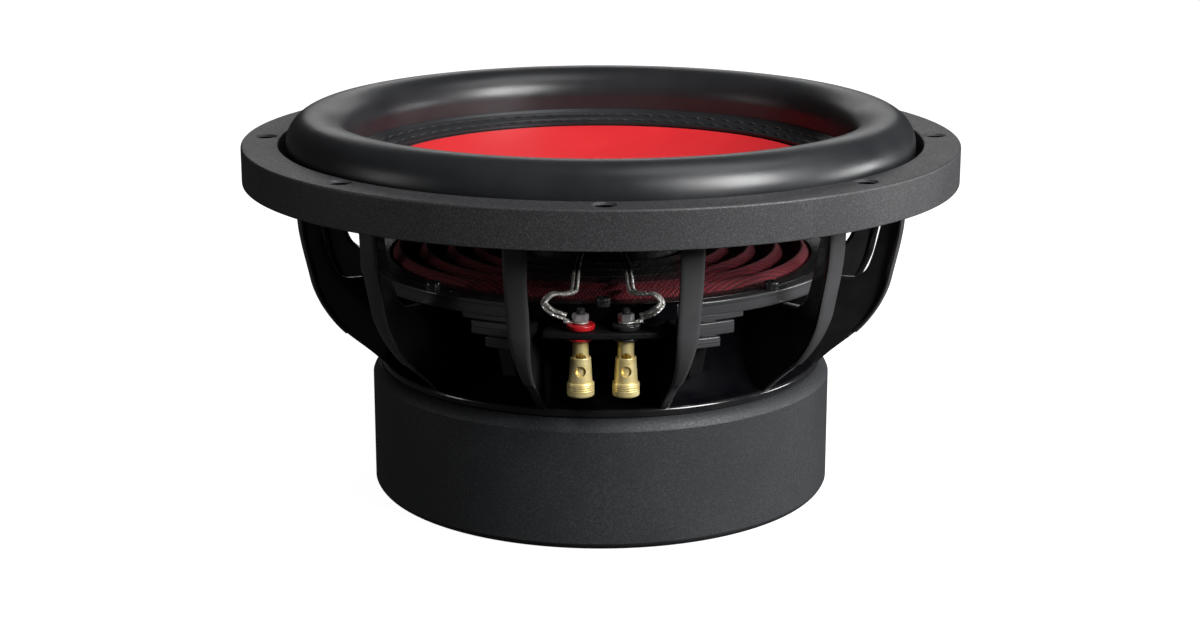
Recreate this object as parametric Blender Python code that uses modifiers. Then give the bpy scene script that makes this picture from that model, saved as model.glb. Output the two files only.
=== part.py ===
"""A twelve-inch car subwoofer, standing on its magnet with the cone facing up.

Units are metres and +Z is up. The origin is on the speaker's axis, at the bottom of the
rubber boot. The two push terminals face -Y. Angles round the axis are measured from the
terminal side (-Y), and grow towards +X.
"""
import math

import bmesh
import bpy
from mathutils import Matrix, Vector

MM = 0.001
GAP = 0.3 * MM

# Facets round the axis.
RING_FACETS = 40
INNER_FACETS = 32
SMALL_FACETS = 12

# Mounting flange and trim ring.
TRIM_RADIUS = 159.0 * MM
TRIM_BORE = 142.7 * MM
TRIM_TOP = 158.3 * MM
TRIM_EDGE = 1.2 * MM
SKIRT_BOTTOM = 141.9 * MM
SKIRT_THICKNESS = 2.4 * MM
FLANGE_THICKNESS = 3.6 * MM
FLANGE_BORE = 131.0 * MM
BOLT_COUNT = 8
BOLT_CIRCLE_RADIUS = 149.3 * MM
TRIM_HOLE_RADIUS = 5.0 * MM
FLANGE_HOLE_RADIUS = 3.0 * MM

# Surround roll and its stitched flange.
ROLL_RADIUS = 13.7 * MM
ROLL_CENTRE_RADIUS = 125.7 * MM
ROLL_CENTRE_HEIGHT = 157.7 * MM
ROLL_THICKNESS = 1.8 * MM
STITCHED_FLANGE_THICKNESS = 1.2 * MM
SURROUND_FOOT_HEIGHT = 147.0 * MM
STITCHED_FLANGE_TOP = 151.6 * MM
STITCHED_FLANGE_INNER_RADIUS = 101.6 * MM
STITCHED_FLANGE_INNER_HEIGHT = 146.9 * MM

# Cone, dust cap and voice coil.
DISH_RADIUS = 99.8 * MM
DISH_RIM_HEIGHT = 146.0 * MM
DISH_DEPTH = 12.0 * MM
DISH_THICKNESS = 1.4 * MM
CONE_NECK_RADIUS = 39.6 * MM
CONE_NECK_HEIGHT = 118.0 * MM
CONE_BEND_RADIUS = 100.4 * MM
CONE_BEND_HEIGHT = 143.2 * MM
CONE_THICKNESS = 1.3 * MM
CONE_RIM_CLEARANCE = 1.0 * MM
FORMER_RADIUS = 38.4 * MM
FORMER_WALL = 0.8 * MM
FORMER_BOTTOM = 35.5 * MM
FORMER_TOP = 121.5 * MM
COIL_RADIUS = 40.6 * MM
COIL_BOTTOM = 36.0 * MM
COIL_TOP = 66.0 * MM

# Spider, its ledge on the basket, its clamp ring and its screws.
LEDGE_RADIUS = 108.3 * MM
LEDGE_BORE = 92.0 * MM
LEDGE_TOP = 107.2 * MM
LEDGE_BOTTOM = 101.0 * MM
REBATE_RADIUS = 103.2 * MM
REBATE_HEIGHT = 105.0 * MM
SPIDER_RADIUS = 102.6 * MM
SPIDER_BORE = 38.9 * MM
SPIDER_THICKNESS = 0.8 * MM
SPIDER_ROLL_PITCH = 12.0 * MM
SPIDER_ROLL_HEIGHT = 3.2 * MM
SPIDER_OUTER_CREST = 90.5 * MM
SPIDER_INNER_QUARTERS = 16
SPIDER_FLAT_RADIUS = 94.6 * MM
SPIDER_MEAN_HEIGHT = 106.4 * MM
CLAMP_BORE = 95.0 * MM
CLAMP_HEIGHT = 0.8 * MM
SCREW_CIRCLE_RADIUS = 105.6 * MM
SCREW_HEAD_RADIUS = 3.0 * MM
SCREW_HEAD_HEIGHT = 3.5 * MM
SCREW_DOME_RADIUS = 2.1 * MM
SCREW_DOME_DROP = 0.4 * MM
SCREW_EDGE_DROP = 1.6 * MM
SCREW_SHANK_RADIUS = 1.2 * MM
SCREW_TIP_INSET = 0.6 * MM
SCREW_HOLE_RADIUS = 1.5 * MM
SCREW_ANGLES = (0, 42, 72, 108, 138, 180, 222, 252, 288, 318)

# Basket neck and base.
NECK_CENTRE_RADIUS = 112.0 * MM
NECK_CENTRE_HEIGHT = 79.0 * MM
NECK_RADIUS = 25.0 * MM
NECK_STEPS = 5
BOWL_WALL = 3.5 * MM
BOWL_FILLET = 2.0 * MM
BOWL_BOTTOM = 57.3 * MM
BOWL_LIP_RADIUS = 95.2 * MM
BOWL_LIP_TOP = 60.5 * MM
BOWL_BORE = 52.0 * MM

# Basket arms: height and radius of the outer face, from the flange down to the foot.
ARM_COUNT = 12
ARM_FIRST_ANGLE = 15.0
ARM_OUTER_FACE = (
    (SKIRT_BOTTOM - GAP, 136.8 * MM),
    (123.0 * MM, 135.8 * MM),
    (105.0 * MM, 132.3 * MM),
    (95.8 * MM, 130.0 * MM),
    (86.4 * MM, 125.4 * MM),
    (76.8 * MM, 118.0 * MM),
    (66.7 * MM, 106.4 * MM),
    (58.0 * MM, 97.2 * MM),
)
ARM_WEB_INNER_EDGE = (
    (114.0 * MM, 100.5 * MM),
    (119.0 * MM, 101.2 * MM),
    (123.6 * MM, 105.0 * MM),
    (126.6 * MM, 112.0 * MM),
    (128.6 * MM, 125.0 * MM),
    (131.2 * MM, SKIRT_BOTTOM - GAP),
)
ARM_WEB_THICKNESS = 4.0 * MM
ARM_BAR_THICKNESS = 2.6 * MM
ARM_BAR_LEAN = 0.9 * MM
ARM_BAR_LEAN_BELOW = 110.0 * MM
ARM_TAPER_MIDDLE_RADIUS = 115.0 * MM
ARM_TAPER_DEPTH = 60.0 * MM
ARM_BAR_BOTTOM = 75.0 * MM
ARM_BAR_WIDTH_TOP = 10.8 * MM
ARM_BAR_WIDTH_MIDDLE = 9.8 * MM
ARM_BAR_WIDTH_BOTTOM = 5.2 * MM
ARM_BAR_MIDDLE = 98.0 * MM

# Stepped bracket behind the terminals: half angle, bottom and top of each step.
BRACKET_RADIUS = 107.8 * MM
BRACKET_BORE = 100.2 * MM
BRACKET_STEPS = (
    (33.0, 98.1 * MM, LEDGE_BOTTOM - GAP),
    (30.6, 92.0 * MM, 98.4 * MM),
    (27.0, 87.4 * MM, 92.3 * MM),
)
BRACKET_RIB_ANGLE = 24.3
BRACKET_RIB_RADIUS = 103.5 * MM
BRACKET_RIB_THICKNESS = 6.4 * MM
BRACKET_RIB_BOTTOM = 72.0 * MM
BRACKET_RIB_CLEARANCE = 0.9 * MM
BRACKET_RIB_RISE = 0.4 * MM
BRACKET_RIB_FOOT = 10.0 * MM

# Terminals.
TERMINAL_RADIUS = 115.0 * MM
TERMINAL_HALF_SPACING = 9.2 * MM
PLATE_OUTER_RADIUS = 121.6 * MM
PLATE_INNER_RADIUS = 108.1 * MM
PLATE_HALF_ANGLE = 11.9
PLATE_BOTTOM = 97.1 * MM
PLATE_TOP = 99.6 * MM
WASHER_RADIUS = 5.9 * MM
WASHER_EDGE = 0.5 * MM
UPPER_WASHER_HEIGHT = 2.4 * MM
LOWER_WASHER_HEIGHT = 1.7 * MM
STUD_RADIUS = 1.8 * MM
STUD_HOLE_RADIUS = 2.1 * MM
STUD_TOP = 108.6 * MM
POST_RADIUS = 3.3 * MM
POST_BOTTOM = 79.0 * MM
WIRE_HOLE_RADIUS = 2.2 * MM
WIRE_HOLE_HEIGHT = 88.3 * MM
WIRE_HOLE_REACH = 8.0 * MM
SPRING_POCKET_RADIUS = 2.3 * MM
SPRING_POCKET_TOP = 84.8 * MM
SLEEVE_BORE = 3.6 * MM
SLEEVE_TOP = 88.3 * MM
SLEEVE_TOP_RADIUS = 4.2 * MM
SLEEVE_LOW_RADIUS = 4.8 * MM
SLEEVE_CAP_RADIUS = 5.6 * MM
SLEEVE_CAP_TOP = 77.8 * MM
SLEEVE_BOTTOM = 72.0 * MM
SLEEVE_FLOOR = 1.6 * MM
SLEEVE_TRAVEL = 5.3 * MM
SPRING_COIL_RADIUS = 1.65 * MM
SPRING_WIRE_RADIUS = 0.25 * MM
SPRING_TURNS = 4
LUG_THICKNESS = 0.6 * MM
LUG_RADIUS = 3.4 * MM
LUG_TAB_HALF_WIDTH = 1.6 * MM
LUG_REACH = 7.0 * MM
NUT_RADIUS = 3.4 * MM
NUT_HEIGHT = 2.8 * MM

# Tinsel leads: route of the one on the -X side, from the coil former to its lug.
LEAD_RADIUS = 1.5 * MM
LEAD_STEPS = 2
LEAD_ROUTE = (
    (-9.5 * MM, -43.0 * MM, 113.0 * MM),
    (-10.6 * MM, -58.0 * MM, 112.4 * MM),
    (-11.2 * MM, -78.0 * MM, 112.4 * MM),
    (-11.4 * MM, -93.0 * MM, 112.2 * MM),
    (-12.2 * MM, -100.0 * MM, 111.6 * MM),
    (-16.0 * MM, -104.5 * MM, 111.8 * MM),
    (-20.8 * MM, -107.2 * MM, 112.4 * MM),
    (-23.8 * MM, -109.6 * MM, 109.4 * MM),
    (-20.6 * MM, -112.0 * MM, 106.4 * MM),
    (-15.2 * MM, -113.6 * MM, 105.2 * MM),
)

# Motor and boot.
TOP_PLATE_RADIUS = 92.0 * MM
TOP_PLATE_BORE = 42.0 * MM
TOP_PLATE_TOP = 57.0 * MM
TOP_PLATE_BOTTOM = 45.2 * MM
MAGNET_RADIUS = 98.0 * MM
MAGNET_BORE = 47.0 * MM
YOKE_RADIUS = 93.0 * MM
YOKE_BOTTOM = 3.5 * MM
YOKE_PLATE_TOP = 13.0 * MM
POLE_RADIUS = 36.8 * MM
POLE_NECK_RADIUS = 34.5 * MM
POLE_HEAD_BOTTOM = 41.3 * MM
POLE_TOP = 60.0 * MM
VENT_RADIUS = 13.0 * MM
VENT_FLARE_RADIUS = 21.0 * MM
VENT_FLARE_TOP = 14.0 * MM
SHORTING_RING_WALL = 2.0 * MM
BOOT_RADIUS = 103.6 * MM
BOOT_BORE = 98.6 * MM
BOOT_FLOOR = 3.2 * MM
BOOT_FLOOR_BORE = 62.0 * MM
BOOT_FOOT_ROUNDING = 4.2 * MM
BOOT_SHOULDER_BOTTOM = 52.0 * MM
BOOT_TOP = 57.0 * MM
BOOT_TOP_RADIUS = 97.8 * MM
BOOT_LIP_BORE = 93.0 * MM


def clear_scene():
    for old in list(bpy.data.objects):
        bpy.data.objects.remove(old, do_unlink=True)


def new_collection(name):
    group = bpy.data.collections.new(name)
    bpy.context.scene.collection.children.link(group)
    return group


def new_material(name, colour, roughness, metallic=0.0):
    made = bpy.data.materials.new(name)
    made.use_nodes = True
    shader = made.node_tree.nodes["Principled BSDF"]
    shader.inputs["Base Color"].default_value = (*colour, 1.0)
    shader.inputs["Roughness"].default_value = roughness
    shader.inputs["Metallic"].default_value = metallic
    made.diffuse_color = (*colour, 1.0)
    return made


clear_scene()
PARTS = new_collection("car_subwoofer")
CUTTERS = new_collection("cutters")

CAST = new_material("cast_black", (0.05, 0.05, 0.055), 0.4, 0.2)
TEXTURED = new_material("textured_black", (0.04, 0.04, 0.045), 0.7)
RUBBER = new_material("rubber_black", (0.03, 0.03, 0.03), 0.6)
RED_GLOSS = new_material("dish_red", (0.75, 0.03, 0.04), 0.35)
CLOTH = new_material("spider_cloth", (0.2, 0.01, 0.03), 0.9)
PAPER = new_material("cone_paper", (0.03, 0.03, 0.03), 0.8)
GOLD = new_material("terminal_gold", (0.8, 0.6, 0.25), 0.2, 1.0)
RED_PLASTIC = new_material("washer_red", (0.7, 0.02, 0.03), 0.35)
BLACK_PLASTIC = new_material("washer_black", (0.02, 0.02, 0.02), 0.4)
BOARD = new_material("terminal_board", (0.1, 0.1, 0.1), 0.5)
TINNED = new_material("tinned_copper", (0.75, 0.75, 0.73), 0.3, 1.0)
STEEL = new_material("plated_steel", (0.5, 0.5, 0.52), 0.35, 1.0)
BLACK_STEEL = new_material("black_screw", (0.03, 0.03, 0.03), 0.35, 0.6)
FERRITE = new_material("ferrite", (0.08, 0.08, 0.085), 0.6)
ALUMINIUM = new_material("aluminium", (0.75, 0.75, 0.77), 0.35, 1.0)
COPPER = new_material("copper_wire", (0.7, 0.3, 0.15), 0.3, 1.0)


def around(radius, angle, height=0.0):
    """The point at a radius and an angle from the terminal side."""
    turn = math.radians(angle)
    return Vector((radius * math.sin(turn), -radius * math.cos(turn), height))


def arc(centre, radius, start, end, steps):
    """Points of an arc in a plane, between two angles in degrees, ends included."""
    points = []
    for step in range(steps + 1):
        turn = math.radians(start + (end - start) * step / steps)
        points.append((centre[0] + radius * math.cos(turn), centre[1] + radius * math.sin(turn)))
    return points


def smooth_shading(mesh):
    mesh.shade_smooth()
    mesh.set_sharp_from_angle(angle=math.radians(35))


def turned(name, profile, material, facets=RING_FACETS, place=(0, 0, 0)):
    """A solid turned about Z; the profile (radius, height) runs down its outer side."""
    links = [(i, i + 1) for i in range(len(profile) - 1)]
    if min(radius for radius, _ in profile) > 0:
        links.append((len(profile) - 1, 0))
    return turned_lines(name, profile, links, material, facets, place)


def turned_lines(name, profile, links, material, facets, place):
    """The solid that the linked points of a profile make when they turn about Z."""
    mesh = bpy.data.meshes.new(name)
    mesh.from_pydata([(radius, 0.0, height) for radius, height in profile], links, [])
    mesh.materials.append(material)
    piece = bpy.data.objects.new(name, mesh)
    piece.location = place
    PARTS.objects.link(piece)
    screw = piece.modifiers.new("turn", 'SCREW')
    screw.axis = 'Z'
    screw.steps = facets
    screw.render_steps = facets
    screw.use_merge_vertices = True
    screw.merge_threshold = 0.00001
    screw.use_smooth_shade = True
    return piece


def flat_outline(name, outline, thickness, matrix, material, holes=()):
    """A flat plate: an outline in its own XY plane, half its thickness to each side."""
    curve = bpy.data.curves.new(name, 'CURVE')
    curve.dimensions = '2D'
    curve.fill_mode = 'BOTH'
    curve.extrude = thickness / 2
    for loop in (outline, *holes):
        spline = curve.splines.new('POLY')
        spline.points.add(len(loop) - 1)
        for point, (x, y) in zip(spline.points, loop):
            point.co = (x, y, 0.0, 1.0)
        spline.use_cyclic_u = True
    flat = bpy.data.objects.new(name, curve)
    flat.matrix_world = matrix
    CUTTERS.objects.link(flat)
    piece = as_mesh(flat)
    piece.data.materials.append(material)
    return piece


def evaluated_mesh(piece):
    """The mesh that an object's modifiers make, with coincident points welded."""
    bpy.context.view_layer.update()
    depsgraph = bpy.context.evaluated_depsgraph_get()
    mesh = bpy.data.meshes.new_from_object(piece.evaluated_get(depsgraph))
    edit = bmesh.new()
    edit.from_mesh(mesh)
    bmesh.ops.remove_doubles(edit, verts=edit.verts, dist=0.000001)
    bmesh.ops.recalc_face_normals(edit, faces=edit.faces)
    edit.to_mesh(mesh)
    edit.free()
    return mesh


def as_mesh(piece):
    """Replaces an object by a plain mesh object of its evaluated shape."""
    name = piece.name
    matrix = piece.matrix_world.copy()
    mesh = evaluated_mesh(piece)
    bpy.data.objects.remove(piece, do_unlink=True)
    made = bpy.data.objects.new(name, mesh)
    mesh.name = name
    made.matrix_world = matrix
    CUTTERS.objects.link(made)
    hide_cutter(made)
    return made


def hide_cutter(piece):
    piece.hide_render = True
    piece.display_type = 'WIRE'


def show_part(piece):
    """Moves a finished piece from the cutters to the parts."""
    CUTTERS.objects.unlink(piece)
    PARTS.objects.link(piece)
    piece.hide_render = False
    piece.display_type = 'TEXTURED'
    return piece


def combine(piece, other, operation):
    modifier = piece.modifiers.new(operation.lower(), 'BOOLEAN')
    modifier.operation = operation
    modifier.solver = 'EXACT'
    modifier.object = other


def cylinder_cutter(name, places, radius, bottom, top, facets, axis='Z'):
    """One cutter with a cylinder at each place; along Y, bottom and top are distances in Y."""
    edit = bmesh.new()
    for place in places:
        middle = (bottom + top) / 2
        if axis == 'Z':
            matrix = Matrix.Translation((place[0], place[1], middle))
        else:
            turn = Matrix.Rotation(math.radians(90), 4, 'X')
            matrix = Matrix.Translation((place[0], place[1] + middle, place[2])) @ turn
        bmesh.ops.create_cone(edit, cap_ends=True, segments=facets, radius1=radius,
                              radius2=radius, depth=top - bottom, matrix=matrix)
    mesh = bpy.data.meshes.new(name)
    edit.to_mesh(mesh)
    edit.free()
    cutter = bpy.data.objects.new(name, mesh)
    CUTTERS.objects.link(cutter)
    hide_cutter(cutter)
    return cutter


def catmull_rom(points, steps):
    """A smooth curve through the points, with steps pieces between two of them."""
    ends = [points[0], *points, points[-1]]
    curve = []
    for i in range(1, len(ends) - 2):
        before, start, end, after = (Vector(p) for p in ends[i - 1:i + 3])
        for step in range(steps):
            t = step / steps
            curve.append(0.5 * (2 * start + (end - before) * t
                                + (2 * before - 5 * start + 4 * end - after) * t * t
                                + (3 * start - before - 3 * end + after) * t * t * t))
    curve.append(Vector(points[-1]))
    return curve


def tube(name, points, radius, material, resolution=2):
    curve = bpy.data.curves.new(name, 'CURVE')
    curve.dimensions = '3D'
    curve.bevel_depth = radius
    curve.bevel_resolution = resolution
    curve.use_fill_caps = True
    spline = curve.splines.new('POLY')
    spline.points.add(len(points) - 1)
    for point, place in zip(spline.points, points):
        point.co = (*place, 1.0)
    curve.materials.append(material)
    piece = bpy.data.objects.new(name, curve)
    PARTS.objects.link(piece)
    return piece


def sector(inner, outer, half_angle, steps=8):
    """Outline of a ring's piece, centred on the terminal side."""
    outer_edge = arc((0, 0), outer, -90 - half_angle, -90 + half_angle, steps)
    inner_edge = arc((0, 0), inner, -90 + half_angle, -90 - half_angle, steps)
    return outer_edge + inner_edge


def at_height(height):
    return Matrix.Translation((0, 0, height))


def radial_plane(angle):
    """Takes an outline of (radius, height) to the upright plane at an angle."""
    return Matrix.Rotation(math.radians(angle - 90), 4, 'Z') @ Matrix.Rotation(math.radians(90), 4, 'X')


def bolt_places(count, radius, angles=None):
    if angles is None:
        angles = [360 * i / count for i in range(count)]
    return [around(radius, angle) for angle in angles]


def build_trim_ring():
    skirt_bore = TRIM_RADIUS - SKIRT_THICKNESS
    underside = SKIRT_BOTTOM + FLANGE_THICKNESS + GAP
    profile = [
        (TRIM_BORE + TRIM_EDGE, TRIM_TOP),
        (TRIM_RADIUS - TRIM_EDGE, TRIM_TOP),
        (TRIM_RADIUS, TRIM_TOP - TRIM_EDGE),
        (TRIM_RADIUS, SKIRT_BOTTOM),
        (skirt_bore, SKIRT_BOTTOM),
        (skirt_bore, underside),
        (TRIM_BORE, underside),
        (TRIM_BORE, TRIM_TOP - TRIM_EDGE),
    ]
    ring = turned("trim_ring", profile, TEXTURED)
    holes = cylinder_cutter("trim_hole_cutter", bolt_places(BOLT_COUNT, BOLT_CIRCLE_RADIUS),
                            TRIM_HOLE_RADIUS, SKIRT_BOTTOM, TRIM_TOP + MM, 16)
    combine(ring, holes, 'DIFFERENCE')


def build_flange():
    outer = TRIM_RADIUS - SKIRT_THICKNESS - GAP
    top = SKIRT_BOTTOM + FLANGE_THICKNESS
    profile = [(FLANGE_BORE, top), (outer, top), (outer, SKIRT_BOTTOM), (FLANGE_BORE, SKIRT_BOTTOM)]
    flange = turned("basket_flange", profile, CAST)
    holes = cylinder_cutter("flange_hole_cutter", bolt_places(BOLT_COUNT, BOLT_CIRCLE_RADIUS),
                            FLANGE_HOLE_RADIUS, SKIRT_BOTTOM - MM, top + MM, SMALL_FACETS)
    combine(flange, holes, 'DIFFERENCE')


def build_surround():
    """Foot on the flange, tall roll, and the flange that is stitched to the cone."""
    centre = (ROLL_CENTRE_RADIUS, ROLL_CENTRE_HEIGHT)
    inner_roll = ROLL_RADIUS - ROLL_THICKNESS
    foot_bottom = SKIRT_BOTTOM + FLANGE_THICKNESS + GAP
    foot_outer = TRIM_BORE - GAP
    outer_skin = arc(centre, ROLL_RADIUS, 180, 0, 7)
    inner_skin = arc(centre, inner_roll, 0, 180, 7)
    profile = [
        (STITCHED_FLANGE_INNER_RADIUS, STITCHED_FLANGE_INNER_HEIGHT),
        (ROLL_CENTRE_RADIUS - ROLL_RADIUS, STITCHED_FLANGE_TOP),
        *outer_skin,
        (ROLL_CENTRE_RADIUS + ROLL_RADIUS, SURROUND_FOOT_HEIGHT),
        (foot_outer, SURROUND_FOOT_HEIGHT),
        (foot_outer, foot_bottom),
        (ROLL_CENTRE_RADIUS + inner_roll, foot_bottom),
        *inner_skin,
        (ROLL_CENTRE_RADIUS - inner_roll, STITCHED_FLANGE_TOP - ROLL_THICKNESS),
        (STITCHED_FLANGE_INNER_RADIUS, STITCHED_FLANGE_INNER_HEIGHT - STITCHED_FLANGE_THICKNESS),
    ]
    turned("surround", profile, RUBBER)


def build_cone():
    """Shallow cone with a sloping rim under the surround's stitched flange."""
    slope = CONE_THICKNESS
    rim_radius = ROLL_CENTRE_RADIUS - ROLL_RADIUS
    rim_height = STITCHED_FLANGE_TOP - ROLL_THICKNESS - CONE_RIM_CLEARANCE
    profile = [
        (CONE_NECK_RADIUS, CONE_NECK_HEIGHT + slope),
        (CONE_BEND_RADIUS, CONE_BEND_HEIGHT + slope),
        (rim_radius, rim_height),
        (rim_radius, rim_height - slope),
        (CONE_BEND_RADIUS, CONE_BEND_HEIGHT),
        (CONE_NECK_RADIUS, CONE_NECK_HEIGHT),
    ]
    turned("cone", profile, PAPER)


def build_dish():
    """The dished cap over the whole cone, glued on at its rim."""
    steps = 4
    top = []
    for step in range(steps + 1):
        radius = DISH_RADIUS * step / steps
        height = DISH_RIM_HEIGHT - DISH_DEPTH * (1 - (radius / DISH_RADIUS) ** 2)
        top.append((radius, height))
    underside = [(radius, height - DISH_THICKNESS) for radius, height in reversed(top)]
    turned("dust_cap", top + underside, RED_GLOSS)


def build_coil():
    bore = FORMER_RADIUS - FORMER_WALL
    former = [(bore, FORMER_TOP), (FORMER_RADIUS, FORMER_TOP),
              (FORMER_RADIUS, FORMER_BOTTOM), (bore, FORMER_BOTTOM)]
    turned("coil_former", former, ALUMINIUM, INNER_FACETS)
    inner = FORMER_RADIUS + GAP
    coil = [(inner, COIL_TOP), (COIL_RADIUS, COIL_TOP), (COIL_RADIUS, COIL_BOTTOM),
            (inner, COIL_BOTTOM)]
    turned("voice_coil", coil, COPPER, INNER_FACETS)


def spider_height(radius):
    """Height of the spider's middle surface at a radius."""
    wave = math.cos(2 * math.pi * (radius - SPIDER_OUTER_CREST) / SPIDER_ROLL_PITCH)
    return SPIDER_MEAN_HEIGHT + SPIDER_ROLL_HEIGHT * wave


def build_spider():
    """Corrugated cloth with a flat edge in the rebate and a collar at the coil former."""
    half = SPIDER_THICKNESS / 2
    outer_flat = REBATE_HEIGHT + GAP + half
    quarter = SPIDER_ROLL_PITCH / 4
    middle = [(SPIDER_BORE, SPIDER_MEAN_HEIGHT)]
    radius = SPIDER_OUTER_CREST - SPIDER_INNER_QUARTERS * quarter
    while radius < SPIDER_OUTER_CREST + quarter / 2:
        middle.append((radius, spider_height(radius)))
        radius += quarter
    middle.append((SPIDER_FLAT_RADIUS, outer_flat))
    middle.append((SPIDER_RADIUS, outer_flat))
    upper = [(radius, height + half) for radius, height in middle]
    lower = [(radius, height - half) for radius, height in reversed(middle)]
    turned("spider", upper + lower, CLOTH, INNER_FACETS)


def build_ledge():
    profile = [
        (REBATE_RADIUS, LEDGE_TOP),
        (LEDGE_RADIUS, LEDGE_TOP),
        (LEDGE_RADIUS, LEDGE_BOTTOM),
        (LEDGE_BORE, LEDGE_BOTTOM),
        (LEDGE_BORE, REBATE_HEIGHT),
        (REBATE_RADIUS, REBATE_HEIGHT),
    ]
    ledge = turned("basket_spider_ledge", profile, CAST)
    holes = cylinder_cutter("ledge_hole_cutter", bolt_places(0, SCREW_CIRCLE_RADIUS, SCREW_ANGLES),
                            SCREW_HOLE_RADIUS, LEDGE_BOTTOM - MM, LEDGE_TOP + MM, 8)
    combine(ledge, holes, 'DIFFERENCE')


def build_clamp_ring():
    bottom = REBATE_HEIGHT + GAP + SPIDER_THICKNESS + GAP
    outer = REBATE_RADIUS - 2 * GAP
    top = bottom + CLAMP_HEIGHT
    profile = [(CLAMP_BORE, top), (outer, top), (outer, bottom), (CLAMP_BORE, bottom)]
    turned("spider_clamp_ring", profile, BLACK_PLASTIC, INNER_FACETS)


def build_spider_screws():
    under_head = LEDGE_TOP + GAP
    head_top = under_head + SCREW_HEAD_HEIGHT
    bottom = LEDGE_BOTTOM + SCREW_TIP_INSET
    profile = [
        (0.0, head_top),
        (SCREW_DOME_RADIUS, head_top - SCREW_DOME_DROP),
        (SCREW_HEAD_RADIUS, head_top - SCREW_EDGE_DROP),
        (SCREW_HEAD_RADIUS, under_head),
        (SCREW_SHANK_RADIUS, under_head),
        (SCREW_SHANK_RADIUS, bottom),
        (0.0, bottom),
    ]
    for number, angle in enumerate(SCREW_ANGLES, start=1):
        place = around(SCREW_CIRCLE_RADIUS, angle)
        turned(f"spider_screw_{number:02d}", profile, BLACK_STEEL, 10, place)


def neck_arc(radius, low, high):
    """Arc of the basket's hollow neck, from a height up to another, at the given radius."""
    centre = (NECK_CENTRE_RADIUS, NECK_CENTRE_HEIGHT)
    start = 180 + math.degrees(math.asin((NECK_CENTRE_HEIGHT - low) / radius))
    end = 180 - math.degrees(math.asin((high - NECK_CENTRE_HEIGHT) / radius))
    return arc(centre, radius, start, end, NECK_STEPS)


def build_bowl():
    top = LEDGE_BOTTOM - GAP
    outer = neck_arc(NECK_RADIUS, BOWL_LIP_TOP, top)
    floor_top = BOWL_BOTTOM + BOWL_WALL
    inner = neck_arc(NECK_RADIUS + BOWL_WALL, floor_top + BOWL_FILLET, top)
    profile = [
        *reversed(outer),
        (BOWL_LIP_RADIUS, BOWL_BOTTOM),
        (BOWL_BORE, BOWL_BOTTOM),
        (BOWL_BORE, floor_top),
        (inner[0][0] - BOWL_FILLET, floor_top),
        *inner,
    ]
    turned("basket_bowl", profile, CAST)


def arm_web_mesh():
    """The arm's radial web, from the flange down round the neck to the foot."""
    lip_clear = BOWL_LIP_RADIUS + GAP
    neck = neck_arc(NECK_RADIUS - GAP, BOWL_LIP_TOP, LEDGE_BOTTOM - 2 * GAP)
    outline = [(radius, height) for height, radius in ARM_OUTER_FACE]
    outline.append((lip_clear, ARM_OUTER_FACE[-1][0]))
    outline.extend(neck)
    outline.extend(ARM_WEB_INNER_EDGE)
    outline.reverse()
    return flat_outline("arm_web", outline, ARM_WEB_THICKNESS, radial_plane(90), CAST)


def arm_bar_mesh():
    """The flat outer bar: a curved strip, narrowed towards the foot."""
    high = [point for point in ARM_OUTER_FACE if point[0] > ARM_BAR_BOTTOM]
    below = ARM_OUTER_FACE[len(high)]
    share = (high[-1][0] - ARM_BAR_BOTTOM) / (high[-1][0] - below[0])
    end_radius = high[-1][1] + share * (below[1] - high[-1][1])
    outer = [(radius, height) for height, radius in high] + [(end_radius, ARM_BAR_BOTTOM)]
    inner = []
    for radius, height in reversed(outer):
        rise = ARM_BAR_LEAN if height < ARM_BAR_LEAN_BELOW else 0.0
        inner.append((radius - ARM_BAR_THICKNESS, height + rise))
    strip_width = ARM_BAR_WIDTH_TOP + 2 * MM
    strip = flat_outline("arm_strip", inner + outer, strip_width, radial_plane(90), CAST)
    top = SKIRT_BOTTOM
    taper = [
        (ARM_BAR_WIDTH_BOTTOM / 2, ARM_BAR_BOTTOM - MM),
        (ARM_BAR_WIDTH_MIDDLE / 2, ARM_BAR_MIDDLE),
        (ARM_BAR_WIDTH_TOP / 2, top),
    ]
    mirrored = [(-half, height) for half, height in reversed(taper)]
    to_width = Matrix(((0, 0, 1, ARM_TAPER_MIDDLE_RADIUS), (1, 0, 0, 0), (0, 1, 0, 0), (0, 0, 0, 1)))
    prism = flat_outline("arm_taper", taper + mirrored, ARM_TAPER_DEPTH, to_width, CAST)
    combine(strip, prism, 'INTERSECT')
    bar = as_mesh(strip)
    bpy.data.objects.remove(prism, do_unlink=True)
    return bar


def build_arms(bracket_clearance):
    web = arm_web_mesh()
    bar = arm_bar_mesh()
    combine(web, bar, 'UNION')
    whole = as_mesh(web)
    bpy.data.objects.remove(bar, do_unlink=True)
    for number in range(1, ARM_COUNT + 1):
        angle = ARM_FIRST_ANGLE + 360 / ARM_COUNT * (number - 1)
        arm = bpy.data.objects.new(f"basket_arm_{number:02d}", whole.data)
        arm.matrix_world = Matrix.Rotation(math.radians(angle - 90), 4, 'Z') @ whole.matrix_world
        PARTS.objects.link(arm)
        if number in (1, ARM_COUNT):
            combine(arm, bracket_clearance, 'DIFFERENCE')
    bpy.data.objects.remove(whole, do_unlink=True)


def bracket_solid(name, grow):
    """The stepped bracket, grown on every side by the same amount."""
    solid = None
    for half_angle, bottom, top in BRACKET_STEPS:
        wider = half_angle + math.degrees(grow / BRACKET_BORE)
        outline = sector(BRACKET_BORE - grow, BRACKET_RADIUS + grow, wider, 12)
        thickness = top - bottom + 2 * grow
        step = flat_outline(name + "_step", outline, thickness, at_height((top + bottom) / 2), CAST)
        if solid is None:
            solid = step
            continue
        combine(solid, step, 'UNION')
        solid = as_mesh(solid)
        bpy.data.objects.remove(step, do_unlink=True)
    solid.name = name
    return solid


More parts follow.
